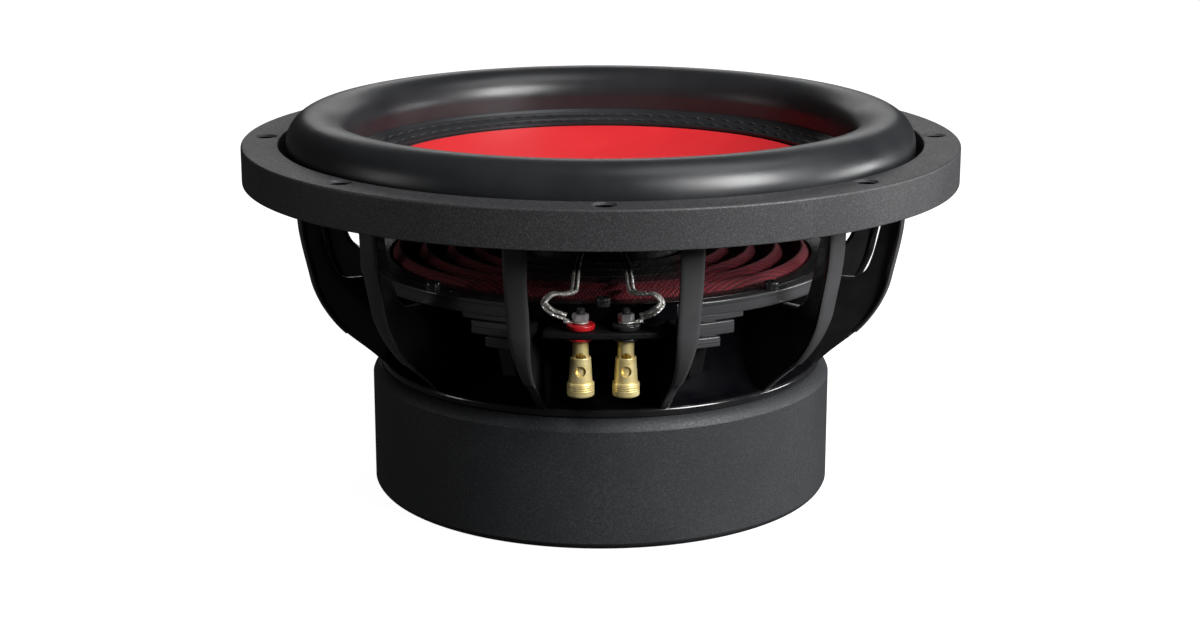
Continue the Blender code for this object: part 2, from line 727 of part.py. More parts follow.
def build_bracket():
    bracket = bracket_solid("terminal_bracket", 0.0)
    top = BRACKET_STEPS[-1][1] + BRACKET_RIB_RISE
    neck = neck_arc(NECK_RADIUS - BRACKET_RIB_CLEARANCE, BRACKET_RIB_BOTTOM, top)
    foot_radius = BRACKET_RIB_RADIUS - BRACKET_RIB_FOOT
    outline = [(BRACKET_RIB_RADIUS, top), *reversed(neck), (foot_radius, BRACKET_RIB_BOTTOM)]
    for side in (-1, 1):
        rib = flat_outline("bracket_rib", outline, BRACKET_RIB_THICKNESS,
                           radial_plane(side * BRACKET_RIB_ANGLE), CAST)
        combine(bracket, rib, 'UNION')
        bracket = as_mesh(bracket)
        bpy.data.objects.remove(rib, do_unlink=True)
    show_part(bracket)
    clearance = bracket_solid("bracket_clearance", GAP)
    return clearance


def terminal_place(side):
    depth = math.sqrt(TERMINAL_RADIUS ** 2 - TERMINAL_HALF_SPACING ** 2)
    return Vector((side * TERMINAL_HALF_SPACING, -depth, 0.0))


def circle(centre, radius, facets=SMALL_FACETS):
    return arc(centre, radius, 0, 360 * (facets - 1) / facets, facets - 1)


def build_terminal_plate():
    holes = [circle(terminal_place(side)[:2], STUD_HOLE_RADIUS) for side in (-1, 1)]
    outline = sector(PLATE_INNER_RADIUS, PLATE_OUTER_RADIUS, PLATE_HALF_ANGLE)
    middle = (PLATE_TOP + PLATE_BOTTOM) / 2
    plate = flat_outline("terminal_plate", outline, PLATE_TOP - PLATE_BOTTOM,
                         at_height(middle), BOARD, holes)
    show_part(plate)


def build_washer(name, bottom, top, place, material):
    profile = [(STUD_HOLE_RADIUS, top), (WASHER_RADIUS - WASHER_EDGE, top),
               (WASHER_RADIUS, top - WASHER_EDGE), (WASHER_RADIUS, bottom),
               (STUD_HOLE_RADIUS, bottom)]
    turned(name, profile, material, SMALL_FACETS, place)


def build_post(name, place, collar_top):
    """Stud above the plate, collar with the wire hole, and a pocket for the spring."""
    profile = [
        (0.0, STUD_TOP),
        (STUD_RADIUS, STUD_TOP),
        (STUD_RADIUS, collar_top),
        (POST_RADIUS, collar_top),
        (POST_RADIUS, POST_BOTTOM),
        (SPRING_POCKET_RADIUS, POST_BOTTOM),
        (SPRING_POCKET_RADIUS, SPRING_POCKET_TOP),
        (0.0, SPRING_POCKET_TOP),
    ]
    post = turned(name, profile, GOLD, SMALL_FACETS, place)
    at_hole = place + Vector((0, 0, WIRE_HOLE_HEIGHT))
    cutter = cylinder_cutter(name + "_hole_cutter", [at_hole], WIRE_HOLE_RADIUS,
                             -WIRE_HOLE_REACH, WIRE_HOLE_REACH, 10, 'Y')
    combine(post, cutter, 'DIFFERENCE')


def build_sleeve(name, place):
    """Push sleeve that slides up the post until its hole meets the post's hole."""
    profile = [
        (SLEEVE_BORE, SLEEVE_TOP),
        (SLEEVE_TOP_RADIUS, SLEEVE_TOP),
        (SLEEVE_LOW_RADIUS, SLEEVE_CAP_TOP),
        (SLEEVE_CAP_RADIUS, SLEEVE_CAP_TOP),
        (SLEEVE_CAP_RADIUS, SLEEVE_BOTTOM),
        (0.0, SLEEVE_BOTTOM),
    ]
    inside = [(0.0, SLEEVE_BOTTOM + SLEEVE_FLOOR), (SLEEVE_BORE, SLEEVE_BOTTOM + SLEEVE_FLOOR)]
    sleeve = turned_cup(name, profile, inside, place)
    at_hole = place + Vector((0, 0, WIRE_HOLE_HEIGHT - SLEEVE_TRAVEL))
    cutter = cylinder_cutter(name + "_hole_cutter", [at_hole], WIRE_HOLE_RADIUS,
                             -WIRE_HOLE_REACH, WIRE_HOLE_REACH, 10, 'Y')
    combine(sleeve, cutter, 'DIFFERENCE')


def turned_cup(name, outside, inside, place):
    """A turned solid with a blind bore: both of its skins reach the axis."""
    profile = outside + inside
    break_after = len(outside) - 1
    links = [(i, (i + 1) % len(profile)) for i in range(len(profile)) if i != break_after]
    return turned_lines(name, profile, links, GOLD, SMALL_FACETS, place)


def build_spring(name, place):
    bottom = SLEEVE_BOTTOM + SLEEVE_FLOOR + GAP + SPRING_WIRE_RADIUS
    top = SPRING_POCKET_TOP - GAP - SPRING_WIRE_RADIUS
    per_turn = 8
    points = []
    for step in range(SPRING_TURNS * per_turn + 1):
        turn = 2 * math.pi * step / per_turn
        rise = (top - bottom) * step / (SPRING_TURNS * per_turn)
        points.append((place.x + SPRING_COIL_RADIUS * math.cos(turn),
                       place.y + SPRING_COIL_RADIUS * math.sin(turn), bottom + rise))
    tube(name, points, SPRING_WIRE_RADIUS, STEEL, resolution=1)


def build_lug(name, place, side, bottom):
    """Tinned lug: a ring on the stud and a tab that the lead is soldered to."""
    half = LUG_TAB_HALF_WIDTH
    spread = math.degrees(math.asin(half / LUG_RADIUS))
    ring = arc((0, 0), LUG_RADIUS, spread, 360 - spread, 12)
    outline = [*ring, (LUG_REACH, -half), (LUG_REACH, half)]
    matrix = Matrix.Translation((place.x, place.y, bottom + LUG_THICKNESS / 2))
    if side < 0:
        matrix = matrix @ Matrix.Rotation(math.radians(180), 4, 'Z')
    lug = flat_outline(name, outline, LUG_THICKNESS, matrix, TINNED,
                       [circle((0, 0), STUD_HOLE_RADIUS)])
    show_part(lug)


def build_nut(name, place, bottom):
    profile = [(STUD_HOLE_RADIUS, bottom + NUT_HEIGHT), (NUT_RADIUS, bottom + NUT_HEIGHT),
               (NUT_RADIUS, bottom), (STUD_HOLE_RADIUS, bottom)]
    nut = turned(name, profile, STEEL, 6, place)
    nut.modifiers["turn"].use_smooth_shade = False


def build_lead(name, side):
    route = [Vector((x * -side, y, z)) for x, y, z in LEAD_ROUTE]
    tube(name, catmull_rom(route, LEAD_STEPS), LEAD_RADIUS, TINNED)


def build_terminals():
    lower_top = PLATE_BOTTOM - GAP
    lower_bottom = lower_top - LOWER_WASHER_HEIGHT
    upper_bottom = PLATE_TOP + GAP
    upper_top = upper_bottom + UPPER_WASHER_HEIGHT
    lug_bottom = upper_top + GAP
    nut_bottom = lug_bottom + LUG_THICKNESS + GAP
    for colour, side, material in (("red", -1, RED_PLASTIC), ("black", 1, BLACK_PLASTIC)):
        place = terminal_place(side)
        build_washer(f"terminal_washer_{colour}_upper", upper_bottom, upper_top, place, material)
        build_washer(f"terminal_washer_{colour}_lower", lower_bottom, lower_top, place, material)
        build_post(f"terminal_post_{colour}", place, lower_bottom - GAP)
        build_sleeve(f"terminal_sleeve_{colour}", place)
        build_spring(f"terminal_spring_{colour}", place)
        build_lug(f"solder_lug_{colour}", place, side, lug_bottom)
        build_nut(f"terminal_nut_{colour}", place, nut_bottom)
        build_lead(f"tinsel_lead_{colour}", side)


def build_ring(name, bore, outer, bottom, top, material, facets=RING_FACETS):
    turned(name, [(bore, top), (outer, top), (outer, bottom), (bore, bottom)], material, facets)


def build_motor():
    build_ring("top_plate", TOP_PLATE_BORE, TOP_PLATE_RADIUS, TOP_PLATE_BOTTOM, TOP_PLATE_TOP, STEEL)
    low = YOKE_PLATE_TOP + GAP
    high = TOP_PLATE_BOTTOM - GAP
    middle = (low + high) / 2
    build_ring("magnet_lower", MAGNET_BORE, MAGNET_RADIUS, low, middle - GAP / 2, FERRITE)
    build_ring("magnet_upper", MAGNET_BORE, MAGNET_RADIUS, middle + GAP / 2, high, FERRITE)
    ring_bore = POLE_NECK_RADIUS + GAP
    build_ring("shorting_ring", ring_bore, ring_bore + SHORTING_RING_WALL, low,
               POLE_HEAD_BOTTOM - GAP, ALUMINIUM, INNER_FACETS)
    profile = [
        (VENT_RADIUS, POLE_TOP),
        (POLE_RADIUS, POLE_TOP),
        (POLE_RADIUS, POLE_HEAD_BOTTOM),
        (POLE_NECK_RADIUS, POLE_HEAD_BOTTOM),
        (POLE_NECK_RADIUS, YOKE_PLATE_TOP),
        (YOKE_RADIUS, YOKE_PLATE_TOP),
        (YOKE_RADIUS, YOKE_BOTTOM),
        (VENT_FLARE_RADIUS, YOKE_BOTTOM),
        (VENT_RADIUS, VENT_FLARE_TOP),
    ]
    turned("t_yoke", profile, STEEL, INNER_FACETS)


def build_boot():
    foot_centre = (BOOT_RADIUS - BOOT_FOOT_ROUNDING, BOOT_FOOT_ROUNDING)
    shoulder_drop = BOOT_TOP - BOOT_SHOULDER_BOTTOM
    shoulder = []
    for step in range(4):
        turn = math.radians(90 * (1 - step / 3))
        radius = BOOT_TOP_RADIUS + (BOOT_RADIUS - BOOT_TOP_RADIUS) * math.cos(turn)
        shoulder.append((radius, BOOT_SHOULDER_BOTTOM + shoulder_drop * math.sin(turn)))
    profile = [
        (BOOT_LIP_BORE, BOOT_TOP),
        *shoulder,
        *arc(foot_centre, BOOT_FOOT_ROUNDING, 0, -90, 3),
        (BOOT_FLOOR_BORE, 0.0),
        (BOOT_FLOOR_BORE, BOOT_FLOOR),
        (BOOT_BORE, BOOT_FLOOR),
        (BOOT_BORE, TOP_PLATE_BOTTOM),
        (BOOT_LIP_BORE, TOP_PLATE_BOTTOM),
    ]
    turned("magnet_boot", profile, RUBBER)


def shade_parts():
    for piece in PARTS.objects:
        if piece.type == 'MESH' and not any(m.type == 'SCREW' for m in piece.modifiers):
            smooth_shading(piece.data)


build_trim_ring()
build_flange()
build_surround()
build_cone()
build_dish()
build_coil()
build_spider()
build_ledge()
build_clamp_ring()
build_spider_screws()
build_bowl()
build_arms(build_bracket())
build_terminal_plate()
build_terminals()
build_motor()
build_boot()
shade_parts()
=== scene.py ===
"""The finished look of a 12 inch car subwoofer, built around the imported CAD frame.

Angles run from the terminal side (-Y) towards +X, in degrees. Lengths are in metres.
"""

import math

import bmesh
import bpy
from mathutils import Matrix, Vector
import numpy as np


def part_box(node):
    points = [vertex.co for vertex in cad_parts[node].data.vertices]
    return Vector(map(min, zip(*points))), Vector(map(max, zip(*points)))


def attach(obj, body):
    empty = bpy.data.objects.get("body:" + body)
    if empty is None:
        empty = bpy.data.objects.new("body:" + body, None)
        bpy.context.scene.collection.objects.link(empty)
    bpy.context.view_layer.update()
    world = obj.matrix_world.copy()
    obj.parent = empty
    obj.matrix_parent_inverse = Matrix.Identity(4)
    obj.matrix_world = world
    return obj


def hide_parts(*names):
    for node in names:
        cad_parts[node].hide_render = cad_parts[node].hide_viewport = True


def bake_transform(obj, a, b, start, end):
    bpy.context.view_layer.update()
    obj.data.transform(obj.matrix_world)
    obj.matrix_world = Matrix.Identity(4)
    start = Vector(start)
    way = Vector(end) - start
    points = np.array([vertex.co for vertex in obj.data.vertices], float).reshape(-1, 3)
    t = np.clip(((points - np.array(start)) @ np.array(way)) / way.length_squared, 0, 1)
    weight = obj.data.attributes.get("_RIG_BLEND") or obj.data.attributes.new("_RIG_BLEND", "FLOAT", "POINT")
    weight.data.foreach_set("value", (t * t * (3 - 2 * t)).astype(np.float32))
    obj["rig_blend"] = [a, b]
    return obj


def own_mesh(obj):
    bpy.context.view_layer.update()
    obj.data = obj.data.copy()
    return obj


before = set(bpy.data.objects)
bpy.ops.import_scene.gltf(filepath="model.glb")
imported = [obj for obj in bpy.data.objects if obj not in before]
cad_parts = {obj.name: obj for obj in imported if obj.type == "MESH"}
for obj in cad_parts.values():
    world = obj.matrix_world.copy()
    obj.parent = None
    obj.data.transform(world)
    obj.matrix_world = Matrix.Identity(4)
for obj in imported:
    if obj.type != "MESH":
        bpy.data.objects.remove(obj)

MM = 0.001

# Facets of turned pieces.
FINE = 288
MEDIUM = 96
SMALL = 48

# Bodies of the frame.
FRAME = "frame_body"
CONE = "cone_body"
SLEEVE_BODY = {"red": "red_sleeve_body", "black": "black_sleeve_body"}
SIDES = (("red", -1), ("black", 1))

# Trim ring and flange.
BOLT_COUNT = 8
BOLT_CIRCLE_RADIUS = 149.3 * MM
TRIM_ROUNDING = 1.1 * MM
TRIM_SKIRT = 2.4 * MM
TRIM_CLEARANCE = 0.1 * MM
TRIM_HOLE_RADIUS = 4.0 * MM
TRIM_COUNTERSINK_RADIUS = 5.1 * MM
TRIM_COUNTERSINK_DEPTH = 0.9 * MM
FLANGE_HOLE_RADIUS = 3.0 * MM

# Surround.
ROLL_RADIUS = 13.7 * MM
ROLL_CENTRE_RADIUS = 125.7 * MM
ROLL_CENTRE_HEIGHT = 157.7 * MM
ROLL_THICKNESS = 1.8 * MM
FOOT_HEIGHT = 147.0 * MM
STITCHED_TOP = 151.6 * MM
STITCHED_INNER_RADIUS = 101.6 * MM
STITCHED_INNER_HEIGHT = 146.9 * MM
STITCHED_STEPS = 44
STITCH_ROWS = (108.4 * MM, 104.2 * MM)
STITCH_COUNT = 84
STITCH_LENGTH = 5.4 * MM
STITCH_RADIUS = 0.52 * MM
STITCH_STEPS = 8

# Along a stitch, in stitch radii: how far its ends sink, how far its middle rises from there,
# its thickness at the ends and how much thicker its middle is.
STITCH_SINK = 1.5
STITCH_RISE = 2.1
STITCH_TIP = 0.45
STITCH_SWELL = 0.55

# Grooves under the stitches, and the bead outside them.
STITCH_GROOVE_DEPTH = 0.42 * MM
STITCH_GROOVE_WIDTH = 0.95 * MM
BEAD_RADIUS = 111.0 * MM
BEAD_HEIGHT = 0.75 * MM
BEAD_WIDTH = 0.55 * MM

# Dish and cone.
DISH_DEPTH = 12.0 * MM
DISH_THICKNESS = 1.4 * MM
DISH_RIM_WIDTH = 1.7 * MM
DISH_RIM_DROP = 0.8 * MM
DISH_STEPS = 40
CONE_NECK = (39.6 * MM, 118.0 * MM)
CONE_BEND = (100.4 * MM, 143.2 * MM)
CONE_THICKNESS = 1.3 * MM

# Spider.
SPIDER_BORE = 38.9 * MM
SPIDER_PITCH = 12.0 * MM
SPIDER_AMPLITUDE = 3.2 * MM
SPIDER_OUTER_CREST = 90.5 * MM
SPIDER_MEAN_HEIGHT = 106.4 * MM
SPIDER_THICKNESS = 0.7 * MM
SPIDER_EDGE = 94.6 * MM
SPIDER_STEP = 0.5 * MM
SPIDER_LANDING_START = 0.22
SPIDER_CLEARANCE = 0.1 * MM
WEAVE_PITCH = 0.8 * MM
# Painted shade: the cloth and the leads go black where both the radius and |x| are under these.
SPIDER_SHADE_RADII = (66.0 * MM, 76.0 * MM)
SPIDER_SHADE_HALF_WIDTHS = (30.0 * MM, 42.0 * MM)

# Ledge, its rebate and screws.
REBATE_RADIUS = 103.2 * MM
REBATE_HEIGHT = 105.0 * MM
SCREW_SHANK_RADIUS = 1.2 * MM
SCREW_HOLE_RADIUS = 1.5 * MM
SCREW_SOCKET_RADIUS = 1.45 * MM
SCREW_SOCKET_DEPTH = 1.5 * MM
SCREW_TURN = 37.0

# Half width of the painted shade, a matt black stretch of the ledge and the bracket behind the terminals.
TERMINAL_SHADE_HALF_WIDTH = 31.0 * MM

# Basket neck: a hollow arc about this centre in the (radius, height) plane.
NECK_CENTRE = (112.0 * MM, 79.0 * MM)
NECK_RADIUS = 25.0 * MM
BOWL_WALL = 3.5 * MM
BOWL_LIP_TOP = 60.5 * MM
BOWL_LIP_ROUNDING = 1.2 * MM
BOWL_LEDGE_OVERLAP = 0.5 * MM
BOWL_GLOSS_TOP = 61.1 * MM
NECK_GAP = 0.4 * MM

# Arms: (radius, height) points of the outer face and of the web's inner edge.
ARM_COUNT = 12
ARM_FIRST_ANGLE = 15.0
ARM_OUTER_FACE = (
    (136.8 * MM, 142.2 * MM), (135.8 * MM, 123.0 * MM), (132.3 * MM, 105.0 * MM),
    (130.0 * MM, 95.8 * MM), (125.4 * MM, 86.4 * MM), (118.0 * MM, 76.8 * MM),
    (106.4 * MM, 66.7 * MM), (96.6 * MM, 57.4 * MM),
)
ARM_WEB_INNER_EDGE = (
    (98.5 * MM, 101.3 * MM), (113.0 * MM, 100.9 * MM), (117.0 * MM, 101.4 * MM),
    (120.6 * MM, 104.6 * MM), (123.4 * MM, 112.0 * MM), (126.4 * MM, 125.0 * MM),
    (129.8 * MM, 142.2 * MM),
)
ARM_WEB_INSET = 0.4 * MM
ARM_FOOT = (95.4 * MM, 57.4 * MM)
ARM_NECK_TOP = 101.0 * MM
ARM_WEB_THICKNESS = 4.0 * MM
ARM_WEB_ROUNDING = 0.9 * MM
ARM_BAR_THICKNESS = 2.6 * MM
ARM_BAR_BOTTOM = 75.0 * MM
ARM_BAR_WIDTHS = ((75.0 * MM, 5.2 * MM), (98.0 * MM, 9.8 * MM), (142.2 * MM, 10.8 * MM))
ARM_BAR_ROUNDING = 1.8 * MM
ARM_BAR_CROWN = 0.4 * MM
ARM_SATIN_RADIUS = 110.0 * MM
ARM_SATIN_SLOPE = 0.15

# Stepped bracket behind the terminals: half angle, bottom and top of each step.
BRACKET_BORE = 100.2 * MM
BRACKET_STEPS = (
    (33.0, 98.7 * MM, 101.3 * MM),
    (30.6, 92.4 * MM, 97.9 * MM),
    (27.0, 87.4 * MM, 91.6 * MM),
)
BRACKET_CORE_INSET = 2.2 * MM
BRACKET_CORE_RECESS = 1.5 * MM
BRACKET_RIB_ANGLES = (-24.3, 24.3)
BRACKET_RIB_THICKNESS = 6.4 * MM
BRACKET_RIB_RADIUS = 103.5 * MM
BRACKET_RIB_BOTTOM = 72.0 * MM

# Terminals.
STUD_RADIUS = 1.8 * MM
THREAD_PITCH = 0.7 * MM
THREAD_DEPTH = 0.25 * MM
POST_RADIUS = 3.3 * MM
WIRE_HOLE_RADIUS = 2.2 * MM
WIRE_HOLE_HEIGHT = 88.3 * MM
SPRING_POCKET_RADIUS = 2.3 * MM
SPRING_POCKET_TOP = 84.8 * MM
SLEEVE_BORE = 3.6 * MM
SLEEVE_TOP_RADIUS = 4.2 * MM
SLEEVE_LOW_RADIUS = 4.8 * MM
SLEEVE_CAP_TOP = 77.8 * MM
SLEEVE_FLOOR = 1.6 * MM
SLEEVE_GROOVES = 3
SLEEVE_TRAVEL = 5.3 * MM
SPRING_RADIUS = 1.65 * MM
SPRING_WIRE_RADIUS = 0.25 * MM
SPRING_TURNS = 4
SPRING_STEPS = 24
LUG_HOLE_RADIUS = 2.1 * MM
LUG_TAB_HALF_WIDTH = 1.6 * MM
SOLDER_INSET = 1.6 * MM
NUT_CHAMFER = 0.45 * MM

# Red lead's route, from the coil former over the spider to its lug; black is its mirror.
LEAD_ROUTE = (
    (-9.2 * MM, -38.6 * MM, 113.2 * MM),
    (-9.5 * MM, -43.0 * MM, 113.0 * MM),
    (-10.6 * MM, -58.0 * MM, 112.4 * MM),
    (-11.2 * MM, -78.0 * MM, 112.4 * MM),
    (-11.4 * MM, -93.0 * MM, 112.2 * MM),
    (-12.2 * MM, -100.0 * MM, 111.6 * MM),
    (-16.0 * MM, -104.5 * MM, 111.8 * MM),
    (-20.8 * MM, -107.2 * MM, 112.4 * MM),
    (-23.8 * MM, -109.6 * MM, 109.4 * MM),
    (-20.6 * MM, -112.0 * MM, 106.4 * MM),
    (-15.2 * MM, -113.6 * MM, 104.6 * MM),
)
STRAND_SPACING = 1.9 * MM
STRAND_RADIUS = 0.42 * MM
BRAID_RADIUS = 0.42 * MM
BRAID_PITCH = 2.8 * MM
BRAID_STRANDS = 3

# Motor.
VENT_RADIUS = 13.0 * MM
VENT_FLARE_RADIUS = 21.0 * MM
VENT_FLARE_TOP = 14.0 * MM
YOKE_PLATE_TOP = 13.0 * MM
POLE_RADIUS = 36.8 * MM
POLE_NECK_RADIUS = 34.5 * MM
POLE_HEAD_BOTTOM = 41.3 * MM

# Boot.
BOOT_BORE = 98.6 * MM
BOOT_FLOOR = 3.2 * MM
BOOT_FOOT_CREASE = 3.4 * MM
BOOT_FOOT_WIDTH = 4.6 * MM
BOOT_SHOULDER_CREASE = 52.3 * MM
BOOT_SHOULDER_RADIUS = 97.8 * MM
BOOT_CREASE_SWEEP = 66
BOOT_CREASE_STEPS = 12
BOOT_FLOOR_BORE = 62.0 * MM
BOOT_LIP_BORE = 93.0 * MM
BOOT_LIP_BOTTOM = 45.2 * MM

# Camera: how far it stands round from the terminal side, how far it is turned past the speaker's
# axis and how far it looks down, in degrees; its distance from that axis and its height; and
# its lens and sensor in millimetres.
CAMERA_ANGLE = -0.5
CAMERA_TURN = 0.02
CAMERA_TILT = 14.79
CAMERA_DISTANCE = 0.9866
CAMERA_HEIGHT = 0.3342
CAMERA_LENS = 67.14
CAMERA_SENSOR = 36.0
CAMERA_CLIP = 0.05

# Softboxes: name, azimuth and elevation in degrees, distance, width, height and watts.
SOFTBOXES = (
    ("key_right", 50, 30, 1.5, 0.6, 0.8, 36),
    ("side_right", 98, 5, 1.5, 0.5, 0.3, 8),
    ("overhead", 80, 68, 1.5, 0.8, 0.8, 6),
    ("behind", 180, 22, 1.5, 1.2, 0.3, 2.2),
    ("rim_left", -78, 10, 1.6, 0.3, 0.6, 2),
)
LIGHT_TARGET = (0.0, 0.0, 0.1)
AMBIENT_STRENGTH = 0.03
FLOOR_HALF_WIDTH = 9.0
FLOOR_COLOUR = (0.3, 0.3, 0.3)
FLOOR_GLOW = 0.97
WHITE = (1.0, 1.0, 1.0, 1.0)

# The plane of a radial section: an outline's (x, y) become (radius, height).
UPRIGHT = Matrix(((1, 0, 0, 0), (0, 0, -1, 0), (0, 1, 0, 0), (0, 0, 0, 1)))


def ring_size(node):
    """Bore, outer radius, bottom and top of a round CAD node about the Z axis."""
    corners = [vertex.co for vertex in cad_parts[node].data.vertices]
    radii = [math.hypot(corner.x, corner.y) for corner in corners]
    heights = [corner.z for corner in corners]
    return min(radii), max(radii), min(heights), max(heights)


def axis_of(node):
    """The point on the plane z = 0 under the middle of a small CAD node."""
    low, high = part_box(node)
    middle = (low + high) / 2
    return Vector((middle.x, middle.y, 0.0))


def around(radius, angle, height=0.0):
    """The point at a radius and an angle from the terminal side."""
    turn = math.radians(angle)
    return Vector((radius * math.sin(turn), -radius * math.cos(turn), height))


def facing(angle):
    """The turn about Z that brings +X to an angle from the terminal side."""
    return Matrix.Rotation(math.radians(angle - 90), 4, 'Z')


def arc(centre, radius, start, end, steps):
    """Points of an arc between two angles in degrees, ends included."""
    points = []
    for step in range(steps + 1):
        turn = math.radians(start + (end - start) * step / steps)
        points.append((centre[0] + radius * math.cos(turn), centre[1] + radius * math.sin(turn)))
    return points


def rounded(corners, steps=5):
    """A closed outline whose corners (x, y, rounding) are rounded off."""
    points = []
    for index, (x, y, rounding) in enumerate(corners):
        corner = Vector((x, y))
        if rounding == 0:
            points.append((x, y))
            continue
        before = Vector(corners[index - 1][:2]) - corner
        after = Vector(corners[(index + 1) % len(corners)][:2]) - corner
        start = corner + before.normalized() * min(rounding, before.length * 0.49)
        end = corner + after.normalized() * min(rounding, after.length * 0.49)
        for step in range(steps + 1):
            t = step / steps
            point = start * (1 - t) ** 2 + corner * 2 * t * (1 - t) + end * t ** 2
            points.append((point.x, point.y))
    return points


def smooth_curve(points, steps):
    """Points of a Catmull-Rom curve through the given points."""
    points = [Vector(point) for point in points]
    padded = [2 * points[0] - points[1], *points, 2 * points[-1] - points[-2]]
    smooth = []
    for a, b, c, d in zip(padded, padded[1:], padded[2:], padded[3:]):
        for step in range(steps):
            t = step / steps
            smooth.append(0.5 * (2 * b + (c - a) * t + (2 * a - 5 * b + 4 * c - d) * t ** 2
                                 + (3 * b - a - 3 * c + d) * t ** 3))
    smooth.append(points[-1])
    return smooth


def shade(mesh, angle=35):
    """Smooth faces, with a sharp edge wherever two of them meet at more than an angle."""
    mesh.shade_smooth()
    mesh.set_sharp_from_angle(angle=math.radians(angle))


def new_mesh(name, points, faces, material):
    """A closed mesh, or several, with every face turned outwards."""
    mesh = bpy.data.meshes.new(name)
    mesh.from_pydata([tuple(point) for point in points], [], faces)
    form = bmesh.new()
    form.from_mesh(mesh)
    bmesh.ops.recalc_face_normals(form, faces=form.faces)
    form.to_mesh(mesh)
    form.free()
    mesh.materials.append(material)
    shade(mesh)
    return mesh


def turned_mesh(name, profile, material, facets=FINE, centre=(0.0, 0.0, 0.0)):
    """A solid turned about Z from the closed profile of (radius, height) points."""
    points, rings = [], []
    for radius, height in profile:
        on_axis = radius < 1e-7
        rings.append([len(points) + k for k in range(1 if on_axis else facets)])
        for k in range(len(rings[-1])):
            turn = 2 * math.pi * k / facets
            points.append((centre[0] + radius * math.cos(turn),
                           centre[1] + radius * math.sin(turn), centre[2] + height))
    faces = []
    for upper, lower in zip(rings, rings[1:] + rings[:1]):
        if len(upper) == len(lower) == 1:
            continue
        for k in range(facets):
            after = (k + 1) % facets
            if len(upper) == 1:
                faces.append((upper[0], lower[k], lower[after]))
            elif len(lower) == 1:
                faces.append((upper[k], lower[0], upper[after]))
            else:
                faces.append((upper[k], lower[k], lower[after], upper[after]))
    return new_mesh(name, points, faces, material)


def swept_points(route, sections):
    """The points and faces of a closed tube: one ring of points at each place of the route."""
    points, faces = [], []
    count = len(sections[0])
    for place, section in zip(route, sections):
        points.extend(place + offset for offset in section)
    for ring in range(len(route) - 1):
        for k in range(count):
            after = (k + 1) % count
            faces.append((ring * count + k, ring * count + after,
                          (ring + 1) * count + after, (ring + 1) * count + k))
    faces.append(tuple(reversed(range(count))))
    last = (len(route) - 1) * count
    faces.append(tuple(last + k for k in range(count)))
    return points, faces


def route_frames(route):
    """A sideways and an upward direction at each point of a route, which never flip over."""
    frames = []
    side = None
    for index in range(len(route)):
        ahead = route[min(index + 1, len(route) - 1)] - route[max(index - 1, 0)]
        ahead.normalize()
        if side is None:
            side = ahead.cross(Vector((0, 0, 1))).normalized()
        side = (side - ahead * side.dot(ahead)).normalized()
        frames.append((side, ahead.cross(side)))
    return frames


def tube_points(route, radius, sides=8):
    """The points and faces of a round tube along a route."""
    sections = []
    for across, up in route_frames(route):
        ring = []
        for k in range(sides):
            turn = 2 * math.pi * k / sides
            ring.append(radius * (across * math.cos(turn) + up * math.sin(turn)))
        sections.append(ring)
    return swept_points(route, sections)


def joined_mesh(name, solids, material):
    """One mesh of several solids, each a (points, faces) pair."""
    points, faces = [], []
    for solid_points, solid_faces in solids:
        start = len(points)
        points.extend(solid_points)
        faces.extend(tuple(start + index for index in face) for face in solid_faces)
    return new_mesh(name, points, faces, material)


def plate_mesh(name, outline, thickness, rounding, matrix, look, holes=()):
    """A flat plate with rounded edges: its outline is in its own XY plane."""
    curve = bpy.data.curves.new(name, 'CURVE')
    curve.dimensions = '2D'
    curve.fill_mode = 'BOTH'
    curve.extrude = thickness / 2 - rounding
    curve.bevel_depth = rounding
    curve.bevel_resolution = 2
    curve.offset = -rounding
    for loop in (outline, *holes):
        spline = curve.splines.new('POLY')
        spline.points.add(len(loop) - 1)
        for point, (x, y) in zip(spline.points, loop):
            point.co = (x, y, 0.0, 1.0)
        spline.use_cyclic_u = True
    flat = bpy.data.objects.new(name, curve)
    bpy.context.scene.collection.objects.link(flat)
    mesh = evaluated_copy(flat)
    bpy.data.objects.remove(flat)
    mesh.name = name
    mesh.transform(matrix)
    mesh.materials.clear()
    mesh.materials.append(LOOKS[look])
    shade(mesh)
    return mesh


def level_plate(name, outline, bottom, top, rounding, look, holes=()):
    """A flat plate that lies level between two heights."""
    level = Matrix.Translation((0, 0, (bottom + top) / 2))
    return plate_mesh(name, outline, top - bottom, rounding, level, look, holes)


def evaluated_copy(piece):
    """A new mesh of the object as its modifiers leave it, with its loose seams closed."""
    graph = bpy.context.evaluated_depsgraph_get()
    graph.update()
    mesh = bpy.data.meshes.new_from_object(piece.evaluated_get(graph), depsgraph=graph)
    weld = bpy.data.objects.new("weld", mesh)
    bpy.context.scene.collection.objects.link(weld)
    modifier = weld.modifiers.new("weld", 'WELD')
    modifier.merge_threshold = 0.000002
    graph.update()
    welded = bpy.data.meshes.new_from_object(weld.evaluated_get(graph), depsgraph=graph)
    bpy.data.objects.remove(weld)
    bpy.data.meshes.remove(mesh)
    return welded


def combined(mesh, other, operation):
    """The mesh after a Boolean with another mesh; it keeps its name and its materials."""
    base = bpy.data.objects.new("base", mesh)
    tool = bpy.data.objects.new("tool", other)
    for thing in (base, tool):
        bpy.context.scene.collection.objects.link(thing)
    boolean = base.modifiers.new("join", 'BOOLEAN')
    boolean.operation = operation
    boolean.object = tool
    name = mesh.name
    materials = list(mesh.materials)
    graph = bpy.context.evaluated_depsgraph_get()
    graph.update()
    mesh = bpy.data.meshes.new_from_object(base.evaluated_get(graph), depsgraph=graph)
    mesh.name = name
    mesh.materials.clear()
    for material in materials:
        mesh.materials.append(material)
    bpy.data.objects.remove(base)
    bpy.data.objects.remove(tool)
    shade(mesh)
    return mesh


